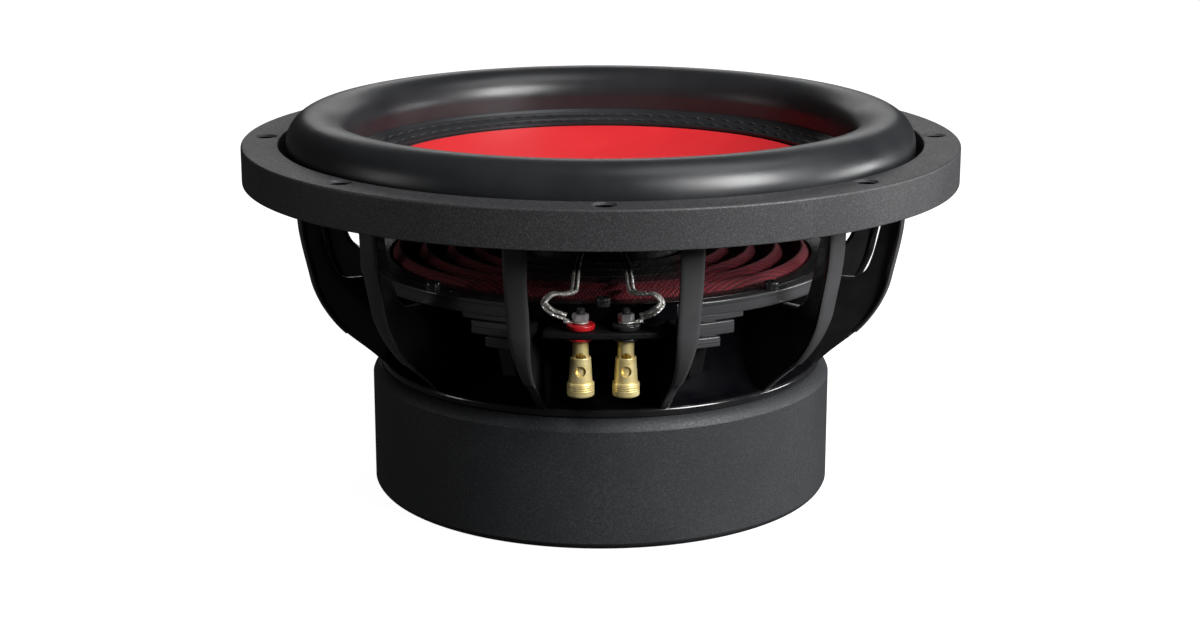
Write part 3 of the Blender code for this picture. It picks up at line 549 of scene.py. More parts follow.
def cutter_bundle(profile, places, facets=SMALL):
    """One mesh of turned cutters that stand at several places and don't touch each other."""
    points, faces = [], []
    for place in places:
        mesh = turned_mesh("cutter", profile, None, facets, place)
        start = len(points)
        points.extend(vertex.co.copy() for vertex in mesh.vertices)
        faces.extend(tuple(start + index for index in face.vertices) for face in mesh.polygons)
        bpy.data.meshes.remove(mesh)
    bundle = bpy.data.meshes.new("cutters")
    bundle.from_pydata([tuple(point) for point in points], [], faces)
    return bundle


def circle(centre, radius):
    """Outline of a round hole in a plate."""
    facets = 32
    return arc(centre, radius, 0, 360 * (facets - 1) / facets, facets - 1)


def plug(radius, top, bottom):
    """Profile of a solid cylinder."""
    return [(0.0, top), (radius, top), (radius, bottom), (0.0, bottom)]


def sector(inner, outer, half_angle, rounding):
    """Outline of a ring's sector that faces the terminal side."""
    outer_side = [around(outer, half_angle * t / 12) for t in range(-12, 13)]
    inner_side = [around(inner, half_angle * t / 12) for t in range(12, -13, -1)]
    ends = (0, 24)
    corners = []
    for side in (outer_side, inner_side):
        for index, point in enumerate(side):
            corners.append((point.x, point.y, rounding if index in ends else 0))
    return rounded(corners)


def add_piece(name, mesh, body, *nodes, flat_faces=True):
    """A finished piece that rides on a CAD body and stands for CAD nodes."""
    piece = bpy.data.objects.new(name, mesh)
    bpy.context.scene.collection.objects.link(piece)
    if flat_faces:
        normals = piece.modifiers.new("even flats", 'WEIGHTED_NORMAL')
        normals.keep_sharp = True
    if body:
        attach(piece, body)
    if nodes:
        stand_for(piece, *nodes)
    return piece


def turned_piece(name, profile, look, body, *nodes, facets=FINE, centre=(0.0, 0.0, 0.0), flat_faces=True):
    """A piece that is turned about the speaker's axis, or about another upright one."""
    mesh = turned_mesh(name, profile, LOOKS[look], facets, centre)
    return add_piece(name, mesh, body, *nodes, flat_faces=flat_faces)


def stand_for(piece, *nodes):
    """The CAD nodes that a piece takes the place of are hidden."""
    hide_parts(*nodes)


def place_copies(mesh, nodes, places):
    """A piece of the same mesh for each CAD node, each in its own place on the frame."""
    for node, place in zip(nodes, places):
        piece = add_piece(node + "_detail", mesh, None)
        piece.matrix_world = place
        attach(piece, FRAME)
        stand_for(piece, node)


def paint(mesh, look, chosen):
    """A second look on the faces of a mesh that a test picks."""
    mesh.materials.append(LOOKS[look])
    for face in mesh.polygons:
        if chosen(face):
            face.material_index = 1


class Look:
    """A node material: a Principled shader whose patterns are in the piece's own coordinates."""

    def __init__(self, name, colour, roughness, **settings):
        self.material = bpy.data.materials.new(name)
        self.material.use_nodes = True
        self.nodes = self.material.node_tree.nodes
        self.links = self.material.node_tree.links
        self.shader = self.nodes["Principled BSDF"]
        self.set("Base Color", (*colour, 1.0))
        self.set("Roughness", roughness)
        for socket, value in settings.items():
            self.set(socket.replace("_", " ").title().replace("Ior", "IOR"), value)
        self.place = self.nodes.new("ShaderNodeTexCoord").outputs["Object"]
        self.material.diffuse_color = (*colour, 1.0)

    def set(self, socket, value):
        self.shader.inputs[socket].default_value = value

    def stretched(self, x, y, z):
        """The piece's coordinates, scaled along each axis."""
        mapping = self.nodes.new("ShaderNodeMapping")
        mapping.inputs["Scale"].default_value = (x, y, z)
        self.links.new(self.place, mapping.inputs["Vector"])
        return mapping.outputs["Vector"]

    def noise(self, scale, detail=3.0, rough=0.55, place=None):
        texture = self.nodes.new("ShaderNodeTexNoise")
        texture.inputs["Scale"].default_value = scale
        texture.inputs["Detail"].default_value = detail
        texture.inputs["Roughness"].default_value = rough
        self.links.new(place or self.place, texture.inputs["Vector"])
        return texture.outputs["Fac"]

    def math(self, operation, a, b=0.0):
        node = self.nodes.new("ShaderNodeMath")
        node.operation = operation
        for value, socket in zip((a, b), node.inputs):
            if isinstance(value, float):
                socket.default_value = value
            else:
                self.links.new(value, socket)
        return node.outputs[0]

    def wave(self, value, rate):
        """A sine wave of a value; the rate is in radians per unit."""
        return self.math('SINE', self.math('MULTIPLY', value, rate))

    def mixed(self, a, share, b):
        """Two patterns added up, of which the first has the given share."""
        return self.math('ADD', self.math('MULTIPLY', a, share), self.math('MULTIPLY', b, 1.0 - share))

    def axes(self):
        node = self.nodes.new("ShaderNodeSeparateXYZ")
        self.links.new(self.place, node.inputs[0])
        return node.outputs

    def radius(self):
        """Distance from the piece's Z axis."""
        x, y, _ = self.axes()
        squares = self.math('ADD', self.math('MULTIPLY', x, x), self.math('MULTIPLY', y, y))
        return self.math('SQRT', squares)

    def clear_of_painted_shade(self):
        """Painted shade: 0 where the radius and the distance from x = 0 are both small, for the shaded
        middle of the spider, and 1 clear of it.
        """
        x, _, _ = self.axes()
        outside = self.level(self.radius(), *SPIDER_SHADE_RADII, 0.0, 1.0)
        beside = self.level(self.math('ABSOLUTE', x), *SPIDER_SHADE_HALF_WIDTHS, 0.0, 1.0)
        return self.math('MAXIMUM', outside, beside)

    def level(self, value, from_low, from_high, low, high):
        """The value brought from one range to another, and held inside it."""
        node = self.nodes.new("ShaderNodeMapRange")
        self.links.new(value, node.inputs["Value"])
        for socket, number in (("From Min", from_low), ("From Max", from_high),
                               ("To Min", low), ("To Max", high)):
            node.inputs[socket].default_value = number
        return node.outputs["Result"]

    def colours(self, value, *stops):
        """A colour ramp: each stop is a position and a colour."""
        node = self.nodes.new("ShaderNodeValToRGB")
        ramp = node.color_ramp.elements
        while len(ramp) < len(stops):
            ramp.new(0.5)
        for element, (position, colour) in zip(ramp, stops):
            element.position = position
            element.color = (*colour, 1.0)
        self.links.new(value, node.inputs[0])
        self.links.new(node.outputs[0], self.shader.inputs["Base Color"])

    def rough(self, value, low, high):
        self.links.new(self.level(value, 0.3, 0.7, low, high), self.shader.inputs["Roughness"])

    def bump(self, height, distance, strength):
        """Relief of the given depth in metres."""
        node = self.nodes.new("ShaderNodeBump")
        node.inputs["Strength"].default_value = strength
        node.inputs["Distance"].default_value = distance
        self.links.new(height, node.inputs["Height"])
        self.links.new(node.outputs[0], self.shader.inputs["Normal"])

    def finish(self, tone, stops, rough, relief, distance, strength):
        """The material, its colour and roughness from one pattern and its bump from another."""
        self.colours(tone, *stops)
        self.rough(tone, *rough)
        self.bump(relief, distance, strength)
        return self.material


def textured_plastic():
    """Fine sparkling grain of the moulded trim ring."""
    look = Look("textured_black", (0.03, 0.03, 0.032), 0.55, specular_ior_level=0.5)
    grain = look.noise(1500.0, 2.0, 0.6)
    look.colours(look.mixed(grain, 0.85, look.noise(45.0)), (0.3, (0.018, 0.018, 0.020)),
                 (0.5, (0.031, 0.031, 0.033)), (0.68, (0.075, 0.075, 0.080)))
    look.rough(grain, 0.62, 0.42)
    look.bump(grain, 0.10 * MM, 0.55)
    return look.material


def boot_rubber():
    """Sand-blasted texture of the magnet boot."""
    look = Look("boot_rubber", (0.022, 0.024, 0.027), 0.6, specular_ior_level=0.45)
    grain = look.noise(1250.0, 3.0, 0.65)
    look.colours(look.mixed(grain, 0.8, look.noise(30.0)), (0.3, (0.013, 0.014, 0.017)),
                 (0.5, (0.023, 0.025, 0.028)), (0.7, (0.054, 0.056, 0.061)))
    look.rough(grain, 0.68, 0.5)
    look.bump(grain, 0.12 * MM, 0.55)
    return look.material


def surround_rubber():
    """Satin rubber with a very fine skin and a slightly uneven bloom."""
    look = Look("surround_rubber", (0.016, 0.017, 0.019), 0.36, specular_ior_level=0.45)
    stops = (0.3, (0.013, 0.014, 0.016)), (0.7, (0.020, 0.021, 0.023))
    bloom = look.noise(28.0, 4.0, 0.6)
    return look.finish(bloom, stops, (0.30, 0.39), look.noise(2200.0, 2.0), 0.05 * MM, 0.5)


def black_thread():
    """Twisted sewing thread."""
    look = Look("black_thread", (0.03, 0.03, 0.032), 0.6, specular_ior_level=0.3)
    x, y, z = look.axes()
    twist = look.wave(look.math('ADD', look.math('ADD', x, y), z), 7000.0)
    look.colours(look.noise(900.0, 2.0), (0.3, (0.014, 0.014, 0.015)), (0.7, (0.04, 0.04, 0.042)))
    look.bump(twist, 0.12 * MM, 0.6)
    return look.material


def dish_lacquer():
    """Red satin lacquer with a light orange peel."""
    look = Look("dish_red", (0.80, 0.030, 0.036), 0.36, specular_ior_level=0.45,
                coat_weight=0.12, coat_roughness=0.22)
    stops = (0.3, (0.76, 0.026, 0.033)), (0.7, (0.84, 0.034, 0.040))
    return look.finish(look.noise(22.0), stops, (0.33, 0.40), look.noise(420.0, 2.0), 0.03 * MM, 0.35)


def spider_cloth():
    """Plain woven cloth, resin dipped and pressed; the threads run along X and Y; painted shade darkens its
    middle to black.
    """
    look = Look("spider_cloth", (0.17, 0.008, 0.022), 0.75, sheen_weight=0.12, sheen_roughness=0.45)
    x, y, _ = look.axes()
    shift = look.math('MULTIPLY', look.noise(160.0, 2.0), 0.5 * WEAVE_PITCH)
    along_x, along_y = (look.wave(look.math('ADD', axis, shift), math.pi / WEAVE_PITCH)
                        for axis in (x, y))
    weave = look.level(look.math('MULTIPLY', along_x, along_y), -0.8, 0.8, 0.0, 1.0)
    fibres = look.noise(2600.0, 3.0, 0.7)
    height = look.math('ADD', weave, look.math('MULTIPLY', fibres, 0.45))
    # Painted shade: the cloth's tone goes to black in its middle.
    tone = look.math('MULTIPLY', height, look.clear_of_painted_shade())
    look.colours(tone, (0.0, (0.003, 0.001, 0.001)), (0.35, (0.060, 0.002, 0.006)),
                 (0.7, (0.15, 0.005, 0.014)), (1.0, (0.27, 0.012, 0.028)))
    look.rough(fibres, 0.68, 0.85)
    look.bump(height, 0.35 * MM, 0.8)
    return look.material


def cone_paper():
    """Pressed black paper pulp with its fibres."""
    look = Look("cone_paper", (0.022, 0.022, 0.023), 0.7)
    fibres = look.noise(520.0, 5.0, 0.7)
    stops = (0.35, (0.012, 0.012, 0.013)), (0.65, (0.034, 0.034, 0.036))
    return look.finish(fibres, stops, (0.6, 0.8), fibres, 0.15 * MM, 0.5)


def enamel(look, stops, rough):
    """Slow waves and a little dust in the enamel on the casting."""
    return look.finish(look.noise(70.0, 4.0, 0.65), stops, rough, look.noise(160.0, 2.0), 0.10 * MM, 0.25)


def cast_gloss():
    """Glossy black enamel on the casting."""
    look = Look("cast_gloss", (0.012, 0.012, 0.013), 0.16, coat_weight=0.35, coat_roughness=0.06)
    return enamel(look, ((0.35, (0.009, 0.009, 0.010)), (0.75, (0.017, 0.017, 0.018))), (0.12, 0.22))


def cast_painted_shade():
    """Painted shade: matt black enamel with almost no reflection, in the neck, in the trim ring's holes and
    behind the terminals, where it stands in for shade.
    """
    look = Look("cast_painted_shade", (0.003, 0.003, 0.004), 0.22, specular_ior_level=0.004)
    return enamel(look, ((0.35, (0.002, 0.002, 0.003)), (0.75, (0.005, 0.005, 0.006))), (0.18, 0.28))


def cast_satin():
    """Satin powder coat on the faces of the arms."""
    look = Look("cast_satin", (0.062, 0.062, 0.064), 0.36, specular_ior_level=0.5)
    stops = (0.3, (0.054, 0.055, 0.057)), (0.7, (0.070, 0.070, 0.073))
    return look.finish(look.noise(60.0), stops, (0.30, 0.40), look.noise(900.0), 0.05 * MM, 0.35)


def cast_machined():
    """The ledge: black casting whose outer band is lightly turned."""
    look = Look("cast_machined", (0.05, 0.05, 0.053), 0.3, coat_weight=0.2, coat_roughness=0.1)
    lines = look.noise(60.0, 3.0, 0.5, look.stretched(0.05, 0.05, 60.0))
    stops = (0.3, (0.032, 0.032, 0.034)), (0.7, (0.085, 0.085, 0.09))
    return look.finish(lines, stops, (0.24, 0.36), lines, 0.05 * MM, 0.4)


def gold_plate():
    """Gold plating over turned brass."""
    look = Look("gold_plate", (0.93, 0.76, 0.34), 0.4, metallic=0.6)
    lines = look.noise(90.0, 3.0, 0.6, look.stretched(0.4, 0.4, 40.0))
    look.colours(look.noise(260.0), (0.3, (0.85, 0.67, 0.27)), (0.7, (0.99, 0.85, 0.44)))
    look.rough(lines, 0.33, 0.47)
    look.bump(lines, 0.05 * MM, 0.35)
    return look.material


def moulded_plastic(name, dark, light):
    """Glossy moulded washer."""
    look = Look(name, light, 0.28, coat_weight=0.25, coat_roughness=0.12)
    tone = look.noise(300.0)
    return look.finish(tone, ((0.3, dark), (0.7, light)), (0.24, 0.36), tone, 0.03 * MM, 0.3)


def terminal_board():
    """Dark moulded board that insulates the terminals."""
    look = Look("terminal_board", (0.008, 0.008, 0.009), 0.5, specular_ior_level=0.2)
    grain = look.noise(1100.0)
    stops = (0.3, (0.005, 0.005, 0.006)), (0.7, (0.012, 0.012, 0.013))
    return look.finish(grain, stops, (0.4, 0.52), grain, 0.05 * MM, 0.4)


def tinned_braid():
    """Tinned copper strands of uneven tone, painted near-black as shade where they lie over the spider's
    middle.
    """
    look = Look("tinned_braid", (0.80, 0.78, 0.72), 0.4, metallic=0.7)
    tone = look.noise(1300.0)
    # Painted shade: the strands go near-black over the middle of the spider.
    braid_tone_with_shade = look.math('MULTIPLY', tone, look.clear_of_painted_shade())
    look.colours(braid_tone_with_shade, (0.0, (0.004, 0.004, 0.004)), (0.25, (0.20, 0.18, 0.15)),
                 (0.36, (0.55, 0.52, 0.46)), (0.52, (0.98, 0.97, 0.93)))
    look.rough(tone, 0.5, 0.3)
    look.bump(tone, 0.06 * MM, 0.5)
    return look.material


def turned_metal(name, dark, light):
    """Plated steel or aluminium with turning marks round the axis."""
    look = Look(name, light, 0.3, metallic=0.8)
    marks = look.wave(look.radius(), 9000.0)
    stops = (0.3, dark), (0.7, light)
    return look.finish(look.noise(120.0, 4.0), stops, (0.26, 0.4), marks, 0.02 * MM, 0.3)


def black_oxide():
    """Black oxide screws."""
    look = Look("black_oxide", (0.03, 0.03, 0.032), 0.26, specular_ior_level=0.7,
                coat_weight=0.2, coat_roughness=0.15)
    tone = look.noise(700.0)
    stops = (0.3, (0.02, 0.02, 0.021)), (0.7, (0.05, 0.05, 0.053))
    return look.finish(tone, stops, (0.2, 0.36), tone, 0.04 * MM, 0.3)


def ferrite():
    """Ground ferrite magnet."""
    look = Look("ferrite", (0.06, 0.06, 0.063), 0.55)
    grain = look.noise(700.0, 5.0, 0.7)
    stops = (0.3, (0.04, 0.04, 0.042)), (0.7, (0.09, 0.09, 0.094))
    return look.finish(grain, stops, (0.45, 0.65), grain, 0.08 * MM, 0.5)


def anodised_black():
    """Black anodised coil former."""
    look = Look("anodised_black", (0.03, 0.03, 0.032), 0.34, metallic=0.6)
    tone = look.noise(400.0)
    stops = (0.3, (0.022, 0.022, 0.024)), (0.7, (0.045, 0.045, 0.048))
    return look.finish(tone, stops, (0.3, 0.42), tone, 0.02 * MM, 0.3)


def wound_copper():
    """Enamelled wire, wound in a helix of fine turns."""
    look = Look("wound_copper", (0.62, 0.26, 0.12), 0.3, metallic=1.0)
    _, _, z = look.axes()
    turns = look.wave(z, 2 * math.pi / (0.6 * MM))
    stops = (0.3, (0.50, 0.19, 0.08)), (0.7, (0.72, 0.33, 0.16))
    return look.finish(look.noise(150.0), stops, (0.24, 0.36), turns, 0.15 * MM, 0.8)


def make_looks():
    """Every look, by the short name that the pieces use."""
    return {
        "trim": textured_plastic(),
        "boot": boot_rubber(),
        "rubber": surround_rubber(),
        "thread": black_thread(),
        "dish": dish_lacquer(),
        "cloth": spider_cloth(),
        "paper": cone_paper(),
        "gloss": cast_gloss(),
        "painted_shade": cast_painted_shade(),
        "satin": cast_satin(),
        "machined": cast_machined(),
        "gold": gold_plate(),
        "red": moulded_plastic("washer_red", (0.50, 0.010, 0.014), (0.66, 0.018, 0.022)),
        "black": moulded_plastic("washer_black", (0.013, 0.013, 0.014), (0.028, 0.028, 0.030)),
        "board": terminal_board(),
        "braid": tinned_braid(),
        "steel": turned_metal("plated_steel", (0.52, 0.52, 0.52), (0.80, 0.80, 0.80)),
        "screw": black_oxide(),
        "ferrite": ferrite(),
        "former": anodised_black(),
        "aluminium": turned_metal("turned_aluminium", (0.60, 0.60, 0.62), (0.80, 0.80, 0.82)),
        "copper": wound_copper(),
    }


def bolt_places():
    return [around(BOLT_CIRCLE_RADIUS, 360 / BOLT_COUNT * k) for k in range(BOLT_COUNT)]


def build_trim_ring():
    """Ring over the flange, with its skirt and countersunk holes."""
    bore, radius, bottom, top = ring_size("trim_ring")
    under = ring_size("basket_flange")[3] + TRIM_CLEARANCE
    skirt_bore = radius - TRIM_SKIRT
    profile = rounded([
        (bore, top, TRIM_ROUNDING),
        (radius, top, TRIM_ROUNDING),
        (radius, bottom, 0.5 * MM),
        (skirt_bore, bottom, 0.3 * MM),
        (skirt_bore, under, 0),
        (bore, under, 0.4 * MM),
    ])
    hole = [
        (0.0, top + MM),
        (TRIM_COUNTERSINK_RADIUS, top + MM),
        (TRIM_COUNTERSINK_RADIUS, top),
        (TRIM_COUNTERSINK_RADIUS - 0.35 * MM, top - 0.35 * MM),
        (TRIM_HOLE_RADIUS, top - TRIM_COUNTERSINK_DEPTH),
        (TRIM_HOLE_RADIUS, bottom),
        (0.0, bottom),
    ]
    mesh = turned_mesh("trim_ring_detail", profile, LOOKS["trim"])
    mesh = combined(mesh, cutter_bundle(hole, bolt_places()), 'DIFFERENCE')
    # Painted shade: the walls of the screw holes take the near-black look.
    paint(mesh, "painted_shade", lambda face: any(
        math.dist(face.center[:2], place[:2]) < TRIM_HOLE_RADIUS + 0.1 * MM for place in bolt_places()))
    add_piece("trim_ring_detail", mesh, FRAME, "trim_ring")


def build_flange():
    """The basket's mounting ring, which lies under the trim ring."""
    bore, radius, bottom, top = ring_size("basket_flange")
    profile = rounded([(bore, top, 0.5 * MM), (radius, top, 0.5 * MM),
                       (radius, bottom, 0.5 * MM), (bore, bottom, 1.0 * MM)])
    holes = cutter_bundle(plug(FLANGE_HOLE_RADIUS, top + MM, bottom - MM), bolt_places())
    mesh = combined(turned_mesh("flange_detail", profile, LOOKS["gloss"]), holes, 'DIFFERENCE')
    add_piece("flange_detail", mesh, FRAME, "basket_flange")


def stitched_height(radius):
    """Height of the stitched flange's top, with its stitch grooves and its bead."""
    roll_foot = ROLL_CENTRE_RADIUS - ROLL_RADIUS
    share = (radius - STITCHED_INNER_RADIUS) / (roll_foot - STITCHED_INNER_RADIUS)
    height = STITCHED_INNER_HEIGHT + share * (STITCHED_TOP - STITCHED_INNER_HEIGHT)
    for row in STITCH_ROWS:
        height -= STITCH_GROOVE_DEPTH * math.exp(-((radius - row) / STITCH_GROOVE_WIDTH) ** 2)
    height += BEAD_HEIGHT * math.exp(-((radius - BEAD_RADIUS) / BEAD_WIDTH) ** 2)
    return height


def build_surround():
    """Foot on the flange, tall half roll and the flange that is stitched to the cone."""
    _, foot_outer, foot_bottom, _ = ring_size("surround")
    centre = (ROLL_CENTRE_RADIUS, ROLL_CENTRE_HEIGHT)
    hollow = ROLL_RADIUS - ROLL_THICKNESS
    inner_wall = ROLL_CENTRE_RADIUS - ROLL_RADIUS
    outer_wall = ROLL_CENTRE_RADIUS + ROLL_RADIUS
    flange = []
    for step in range(STITCHED_STEPS):
        radius = STITCHED_INNER_RADIUS + (inner_wall - STITCHED_INNER_RADIUS) * step / STITCHED_STEPS
        flange.append((radius, stitched_height(radius)))
    foot = rounded([
        (outer_wall, ROLL_CENTRE_HEIGHT - MM, 0),
        (outer_wall, FOOT_HEIGHT, 1.2 * MM),
        (foot_outer, FOOT_HEIGHT, 0.4 * MM),
        (foot_outer, foot_bottom, 0),
        (ROLL_CENTRE_RADIUS + hollow, foot_bottom, 0.5 * MM),
        (ROLL_CENTRE_RADIUS + hollow, ROLL_CENTRE_HEIGHT - MM, 0),
    ])
    profile = [
        *flange,
        (inner_wall + 0.05 * MM, STITCHED_TOP + 0.3 * MM),
        *arc(centre, ROLL_RADIUS, 180, 0, 56),
        *foot,
        *arc(centre, hollow, 0, 180, 40),
        (ROLL_CENTRE_RADIUS - hollow, STITCHED_TOP - ROLL_THICKNESS + 0.6 * MM),
        (inner_wall + 0.4 * MM, STITCHED_TOP - ROLL_THICKNESS),
        (STITCHED_INNER_RADIUS, STITCHED_INNER_HEIGHT - ROLL_THICKNESS + 0.6 * MM),
    ]
    piece = turned_piece("surround_detail", profile, "rubber", None, flat_faces=False)
    stretch_across(piece, surround_share)
    stand_for(piece, "surround")


def surround_share(radius):
    """How far a point of the surround follows the cone: 0 at the foot, 1 at the stitches."""
    share = (ROLL_CENTRE_RADIUS + ROLL_RADIUS - radius) / (2 * ROLL_RADIUS)
    share = min(max(share, 0.0), 1.0)
    return share * share * (3 - 2 * share)


def spider_share(radius):
    """How far a point on the spider follows the cone: 1 at the former, 0 at the ledge."""
    return min(max((SPIDER_EDGE - radius) / (SPIDER_EDGE - SPIDER_BORE), 0.0), 1.0)


def stretch_across(piece, share):
    """Blends a piece from the frame to the cone by the share that each radius is given."""
    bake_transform(piece, FRAME, CONE, start=(0, 0, STITCHED_TOP), end=(0, 0, STITCHED_TOP + MM))
    weights = piece.data.attributes["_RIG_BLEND"].data
    for vertex, weight in zip(piece.data.vertices, weights):
        weight.value = share(math.hypot(vertex.co.x, vertex.co.y))


def stitch_solid(row, height, middle):
    """A stitch on its row, at an angle, which thins and dips into the rubber at both ends."""
    half_turn = math.degrees(STITCH_LENGTH / 2 / row)
    route, sections = [], []
    for step in range(STITCH_STEPS + 1):
        t = step / STITCH_STEPS
        angle = middle + half_turn * (2 * t - 1)
        swell = math.sin(math.pi * t) ** 0.5
        outward = around(1.0, angle)
        size = STITCH_RADIUS * (STITCH_TIP + STITCH_SWELL * swell)
        route.append(around(row, angle, height + STITCH_RADIUS * (STITCH_RISE * swell - STITCH_SINK)))
        sections.append([size * (outward * math.cos(math.pi * corner / 3)
                                 + Vector((0, 0, 1)) * math.sin(math.pi * corner / 3))
                         for corner in range(6)])
    return swept_points(route, sections)


def build_stitching():
    """Two rows of thread, with the stitches of one between those of the other."""
    solids = []
    for number, row in enumerate(STITCH_ROWS):
        for k in range(STITCH_COUNT):
            middle = 360 / STITCH_COUNT * (k + 0.5 * number)
            solids.append(stitch_solid(row, stitched_height(row), middle))
    mesh = joined_mesh("surround_stitching", solids, LOOKS["thread"])
    piece = add_piece("surround_stitching", mesh, CONE, flat_faces=False)


def build_dish():
    """Dished red cap over the whole cone, with a turned-down rim."""
    _, radius, _, top = ring_size("dust_cap")
    flat_radius = radius - DISH_RIM_WIDTH
    upper = []
    for step in range(DISH_STEPS + 1):
        r = flat_radius * step / DISH_STEPS
        upper.append((r, top - DISH_DEPTH * (1 - (r / radius) ** 2)))
    rim = [(radius - 0.9 * MM, top - 0.25 * MM), (radius - 0.25 * MM, top - 0.5 * MM),
           (radius, top - DISH_RIM_DROP), (radius, top - DISH_THICKNESS)]
    lower = [(r, height - DISH_THICKNESS) for r, height in reversed(upper)]
    turned_piece("dish_detail", upper + rim + lower, "dish", CONE, "dust_cap", flat_faces=False)


def build_cone():
    """Shallow paper cone with a sloping rim under the stitched flange."""
    _, rim_radius, _, rim_top = ring_size("cone")
    profile = rounded([
        (CONE_NECK[0], CONE_NECK[1] + CONE_THICKNESS, 0.4 * MM),
        (CONE_BEND[0], CONE_BEND[1] + CONE_THICKNESS, 3 * MM),
        (rim_radius, rim_top, 0.4 * MM),
        (rim_radius, rim_top - CONE_THICKNESS, 0.4 * MM),
        (*CONE_BEND, 3 * MM),
        (*CONE_NECK, 0.4 * MM),
    ])
    turned_piece("cone_detail", profile, "paper", CONE, "cone")


def spider_height(radius):
    """Height of the spider's middle surface at a radius."""
    wave = math.cos(2 * math.pi * (radius - SPIDER_OUTER_CREST) / SPIDER_PITCH)
    return SPIDER_MEAN_HEIGHT + SPIDER_AMPLITUDE * wave


def build_spider():
    """Corrugated cloth, its flat edge in the ledge's rebate."""
    radius = ring_size("spider")[1]
    half = SPIDER_THICKNESS / 2
    flat_height = REBATE_HEIGHT + SPIDER_CLEARANCE + half
    flat_start = SPIDER_OUTER_CREST + SPIDER_LANDING_START * SPIDER_PITCH
    middle = []
    r = SPIDER_BORE
    while r < flat_start:
        middle.append((r, spider_height(r)))
        r += SPIDER_STEP
    landing = smooth_curve([(flat_start, spider_height(flat_start)),
                            (SPIDER_EDGE, flat_height + 0.1 * MM), (radius, flat_height)], 6)
    middle.extend((point.x, max(point.y, flat_height)) for point in landing)
    upper = [(r, height + half) for r, height in middle]
    lower = [(r, height - half) for r, height in reversed(middle)]
    piece = turned_piece("spider_detail", upper + lower, "cloth", None, flat_faces=False)
    stretch_across(piece, spider_share)
    stand_for(piece, "spider")


def build_ring(node, look, body, rounding):
    """A plain CAD ring, made round and given softened edges."""
    bore, radius, bottom, top = ring_size(node)
    profile = rounded([(bore, top, rounding), (radius, top, rounding),
                       (radius, bottom, rounding), (bore, bottom, rounding)], 4)
    turned_piece(node + "_detail", profile, look, body, node)


def screw_nodes():
    return sorted(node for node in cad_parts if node.startswith("spider_screw_"))


def paint_shade_behind_terminals(mesh):
    """Painted shade: matt black on the part of a piece that is behind the terminals."""
    paint(mesh, "painted_shade", lambda face: abs(face.center.x) < TERMINAL_SHADE_HALF_WIDTH and face.center.y < 0)


def build_ledge():
    """The ring that the spider lands on, with a rebate and its screw holes."""
    bore, radius, bottom, top = ring_size("basket_spider_ledge")
    profile = rounded([
        (REBATE_RADIUS, top, 0.4 * MM),
        (radius, top, 0.8 * MM),
        (radius, bottom, 0.6 * MM),
        (bore, bottom, 0.5 * MM),
        (bore, REBATE_HEIGHT, 0.5 * MM),
        (REBATE_RADIUS, REBATE_HEIGHT, 0),
    ])
    places = [axis_of(node) for node in screw_nodes()]
    holes = cutter_bundle(plug(SCREW_HOLE_RADIUS, top + MM, bottom - MM), places, 16)
    mesh = combined(turned_mesh("ledge_detail", profile, LOOKS["machined"]), holes, 'DIFFERENCE')
    # Painted shade on the ledge behind the terminals.
    paint_shade_behind_terminals(mesh)
    add_piece("ledge_detail", mesh, FRAME, "basket_spider_ledge")


def build_screws():
    """Cap screws with a domed, socketed head, each turned its own way."""
    nodes = screw_nodes()
    low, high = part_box(nodes[0])
    under_head = ring_size("basket_spider_ledge")[3]
    head_radius = (high.x - low.x) / 2
    profile = rounded([
        (0.0, high.z, 0),
        (head_radius, high.z, 1.3 * MM),
        (head_radius, under_head, 0.15 * MM),
        (SCREW_SHANK_RADIUS, under_head, 0),
        (SCREW_SHANK_RADIUS, low.z, 0.3 * MM),
        (0.0, low.z, 0),
    ])
    mesh = turned_mesh("screw_detail", profile, LOOKS["screw"], 40)
    socket = plug(SCREW_SOCKET_RADIUS, high.z + MM, high.z - SCREW_SOCKET_DEPTH)
    mesh = combined(mesh, turned_mesh("socket", socket, None, 6), 'DIFFERENCE')
    places = []
    for number, node in enumerate(nodes):
        turn = Matrix.Rotation(math.radians(SCREW_TURN * number), 4, 'Z')
        places.append(Matrix.Translation(axis_of(node)) @ turn)
    place_copies(mesh, nodes, places)


def neck_arc(radius, low, high, steps=28):
    """Arc of the basket's hollow neck, from a height up to another, at the given radius."""
    start = 180 + math.degrees(math.asin((NECK_CENTRE[1] - low) / radius))
    end = 180 - math.degrees(math.asin((high - NECK_CENTRE[1]) / radius))
    return arc(NECK_CENTRE, radius, start, end, steps)


def build_bowl():
    """The neck and base of the basket, on the motor's top plate."""
    bore, lip_radius, bottom, top = ring_size("basket_bowl")
    top += BOWL_LEDGE_OVERLAP
    floor_top = bottom + BOWL_WALL
    outer = neck_arc(NECK_RADIUS, BOWL_LIP_TOP, top)
    inner = neck_arc(NECK_RADIUS + BOWL_WALL, floor_top + 2 * MM, top)
    lip = rounded([
        (*outer[1], 0),
        (lip_radius, BOWL_LIP_TOP, BOWL_LIP_ROUNDING),
        (lip_radius, bottom, BOWL_LIP_ROUNDING),
        (bore, bottom, 0.8 * MM),
        (bore, floor_top, 0.8 * MM),
        (inner[0][0] - 2 * MM, floor_top, 1.5 * MM),
        (*inner[0], 0),
    ])
    # Painted shade: the neck is near-black with almost no reflection; only the lip and base below
    # BOWL_GLOSS_TOP are gloss.
    mesh = turned_mesh("bowl_detail", [*reversed(outer[1:]), *lip[1:-1], *inner], LOOKS["painted_shade"])
    paint(mesh, "gloss", lambda face: face.center.z < BOWL_GLOSS_TOP)
    add_piece("bowl_detail", mesh, FRAME, "basket_bowl")


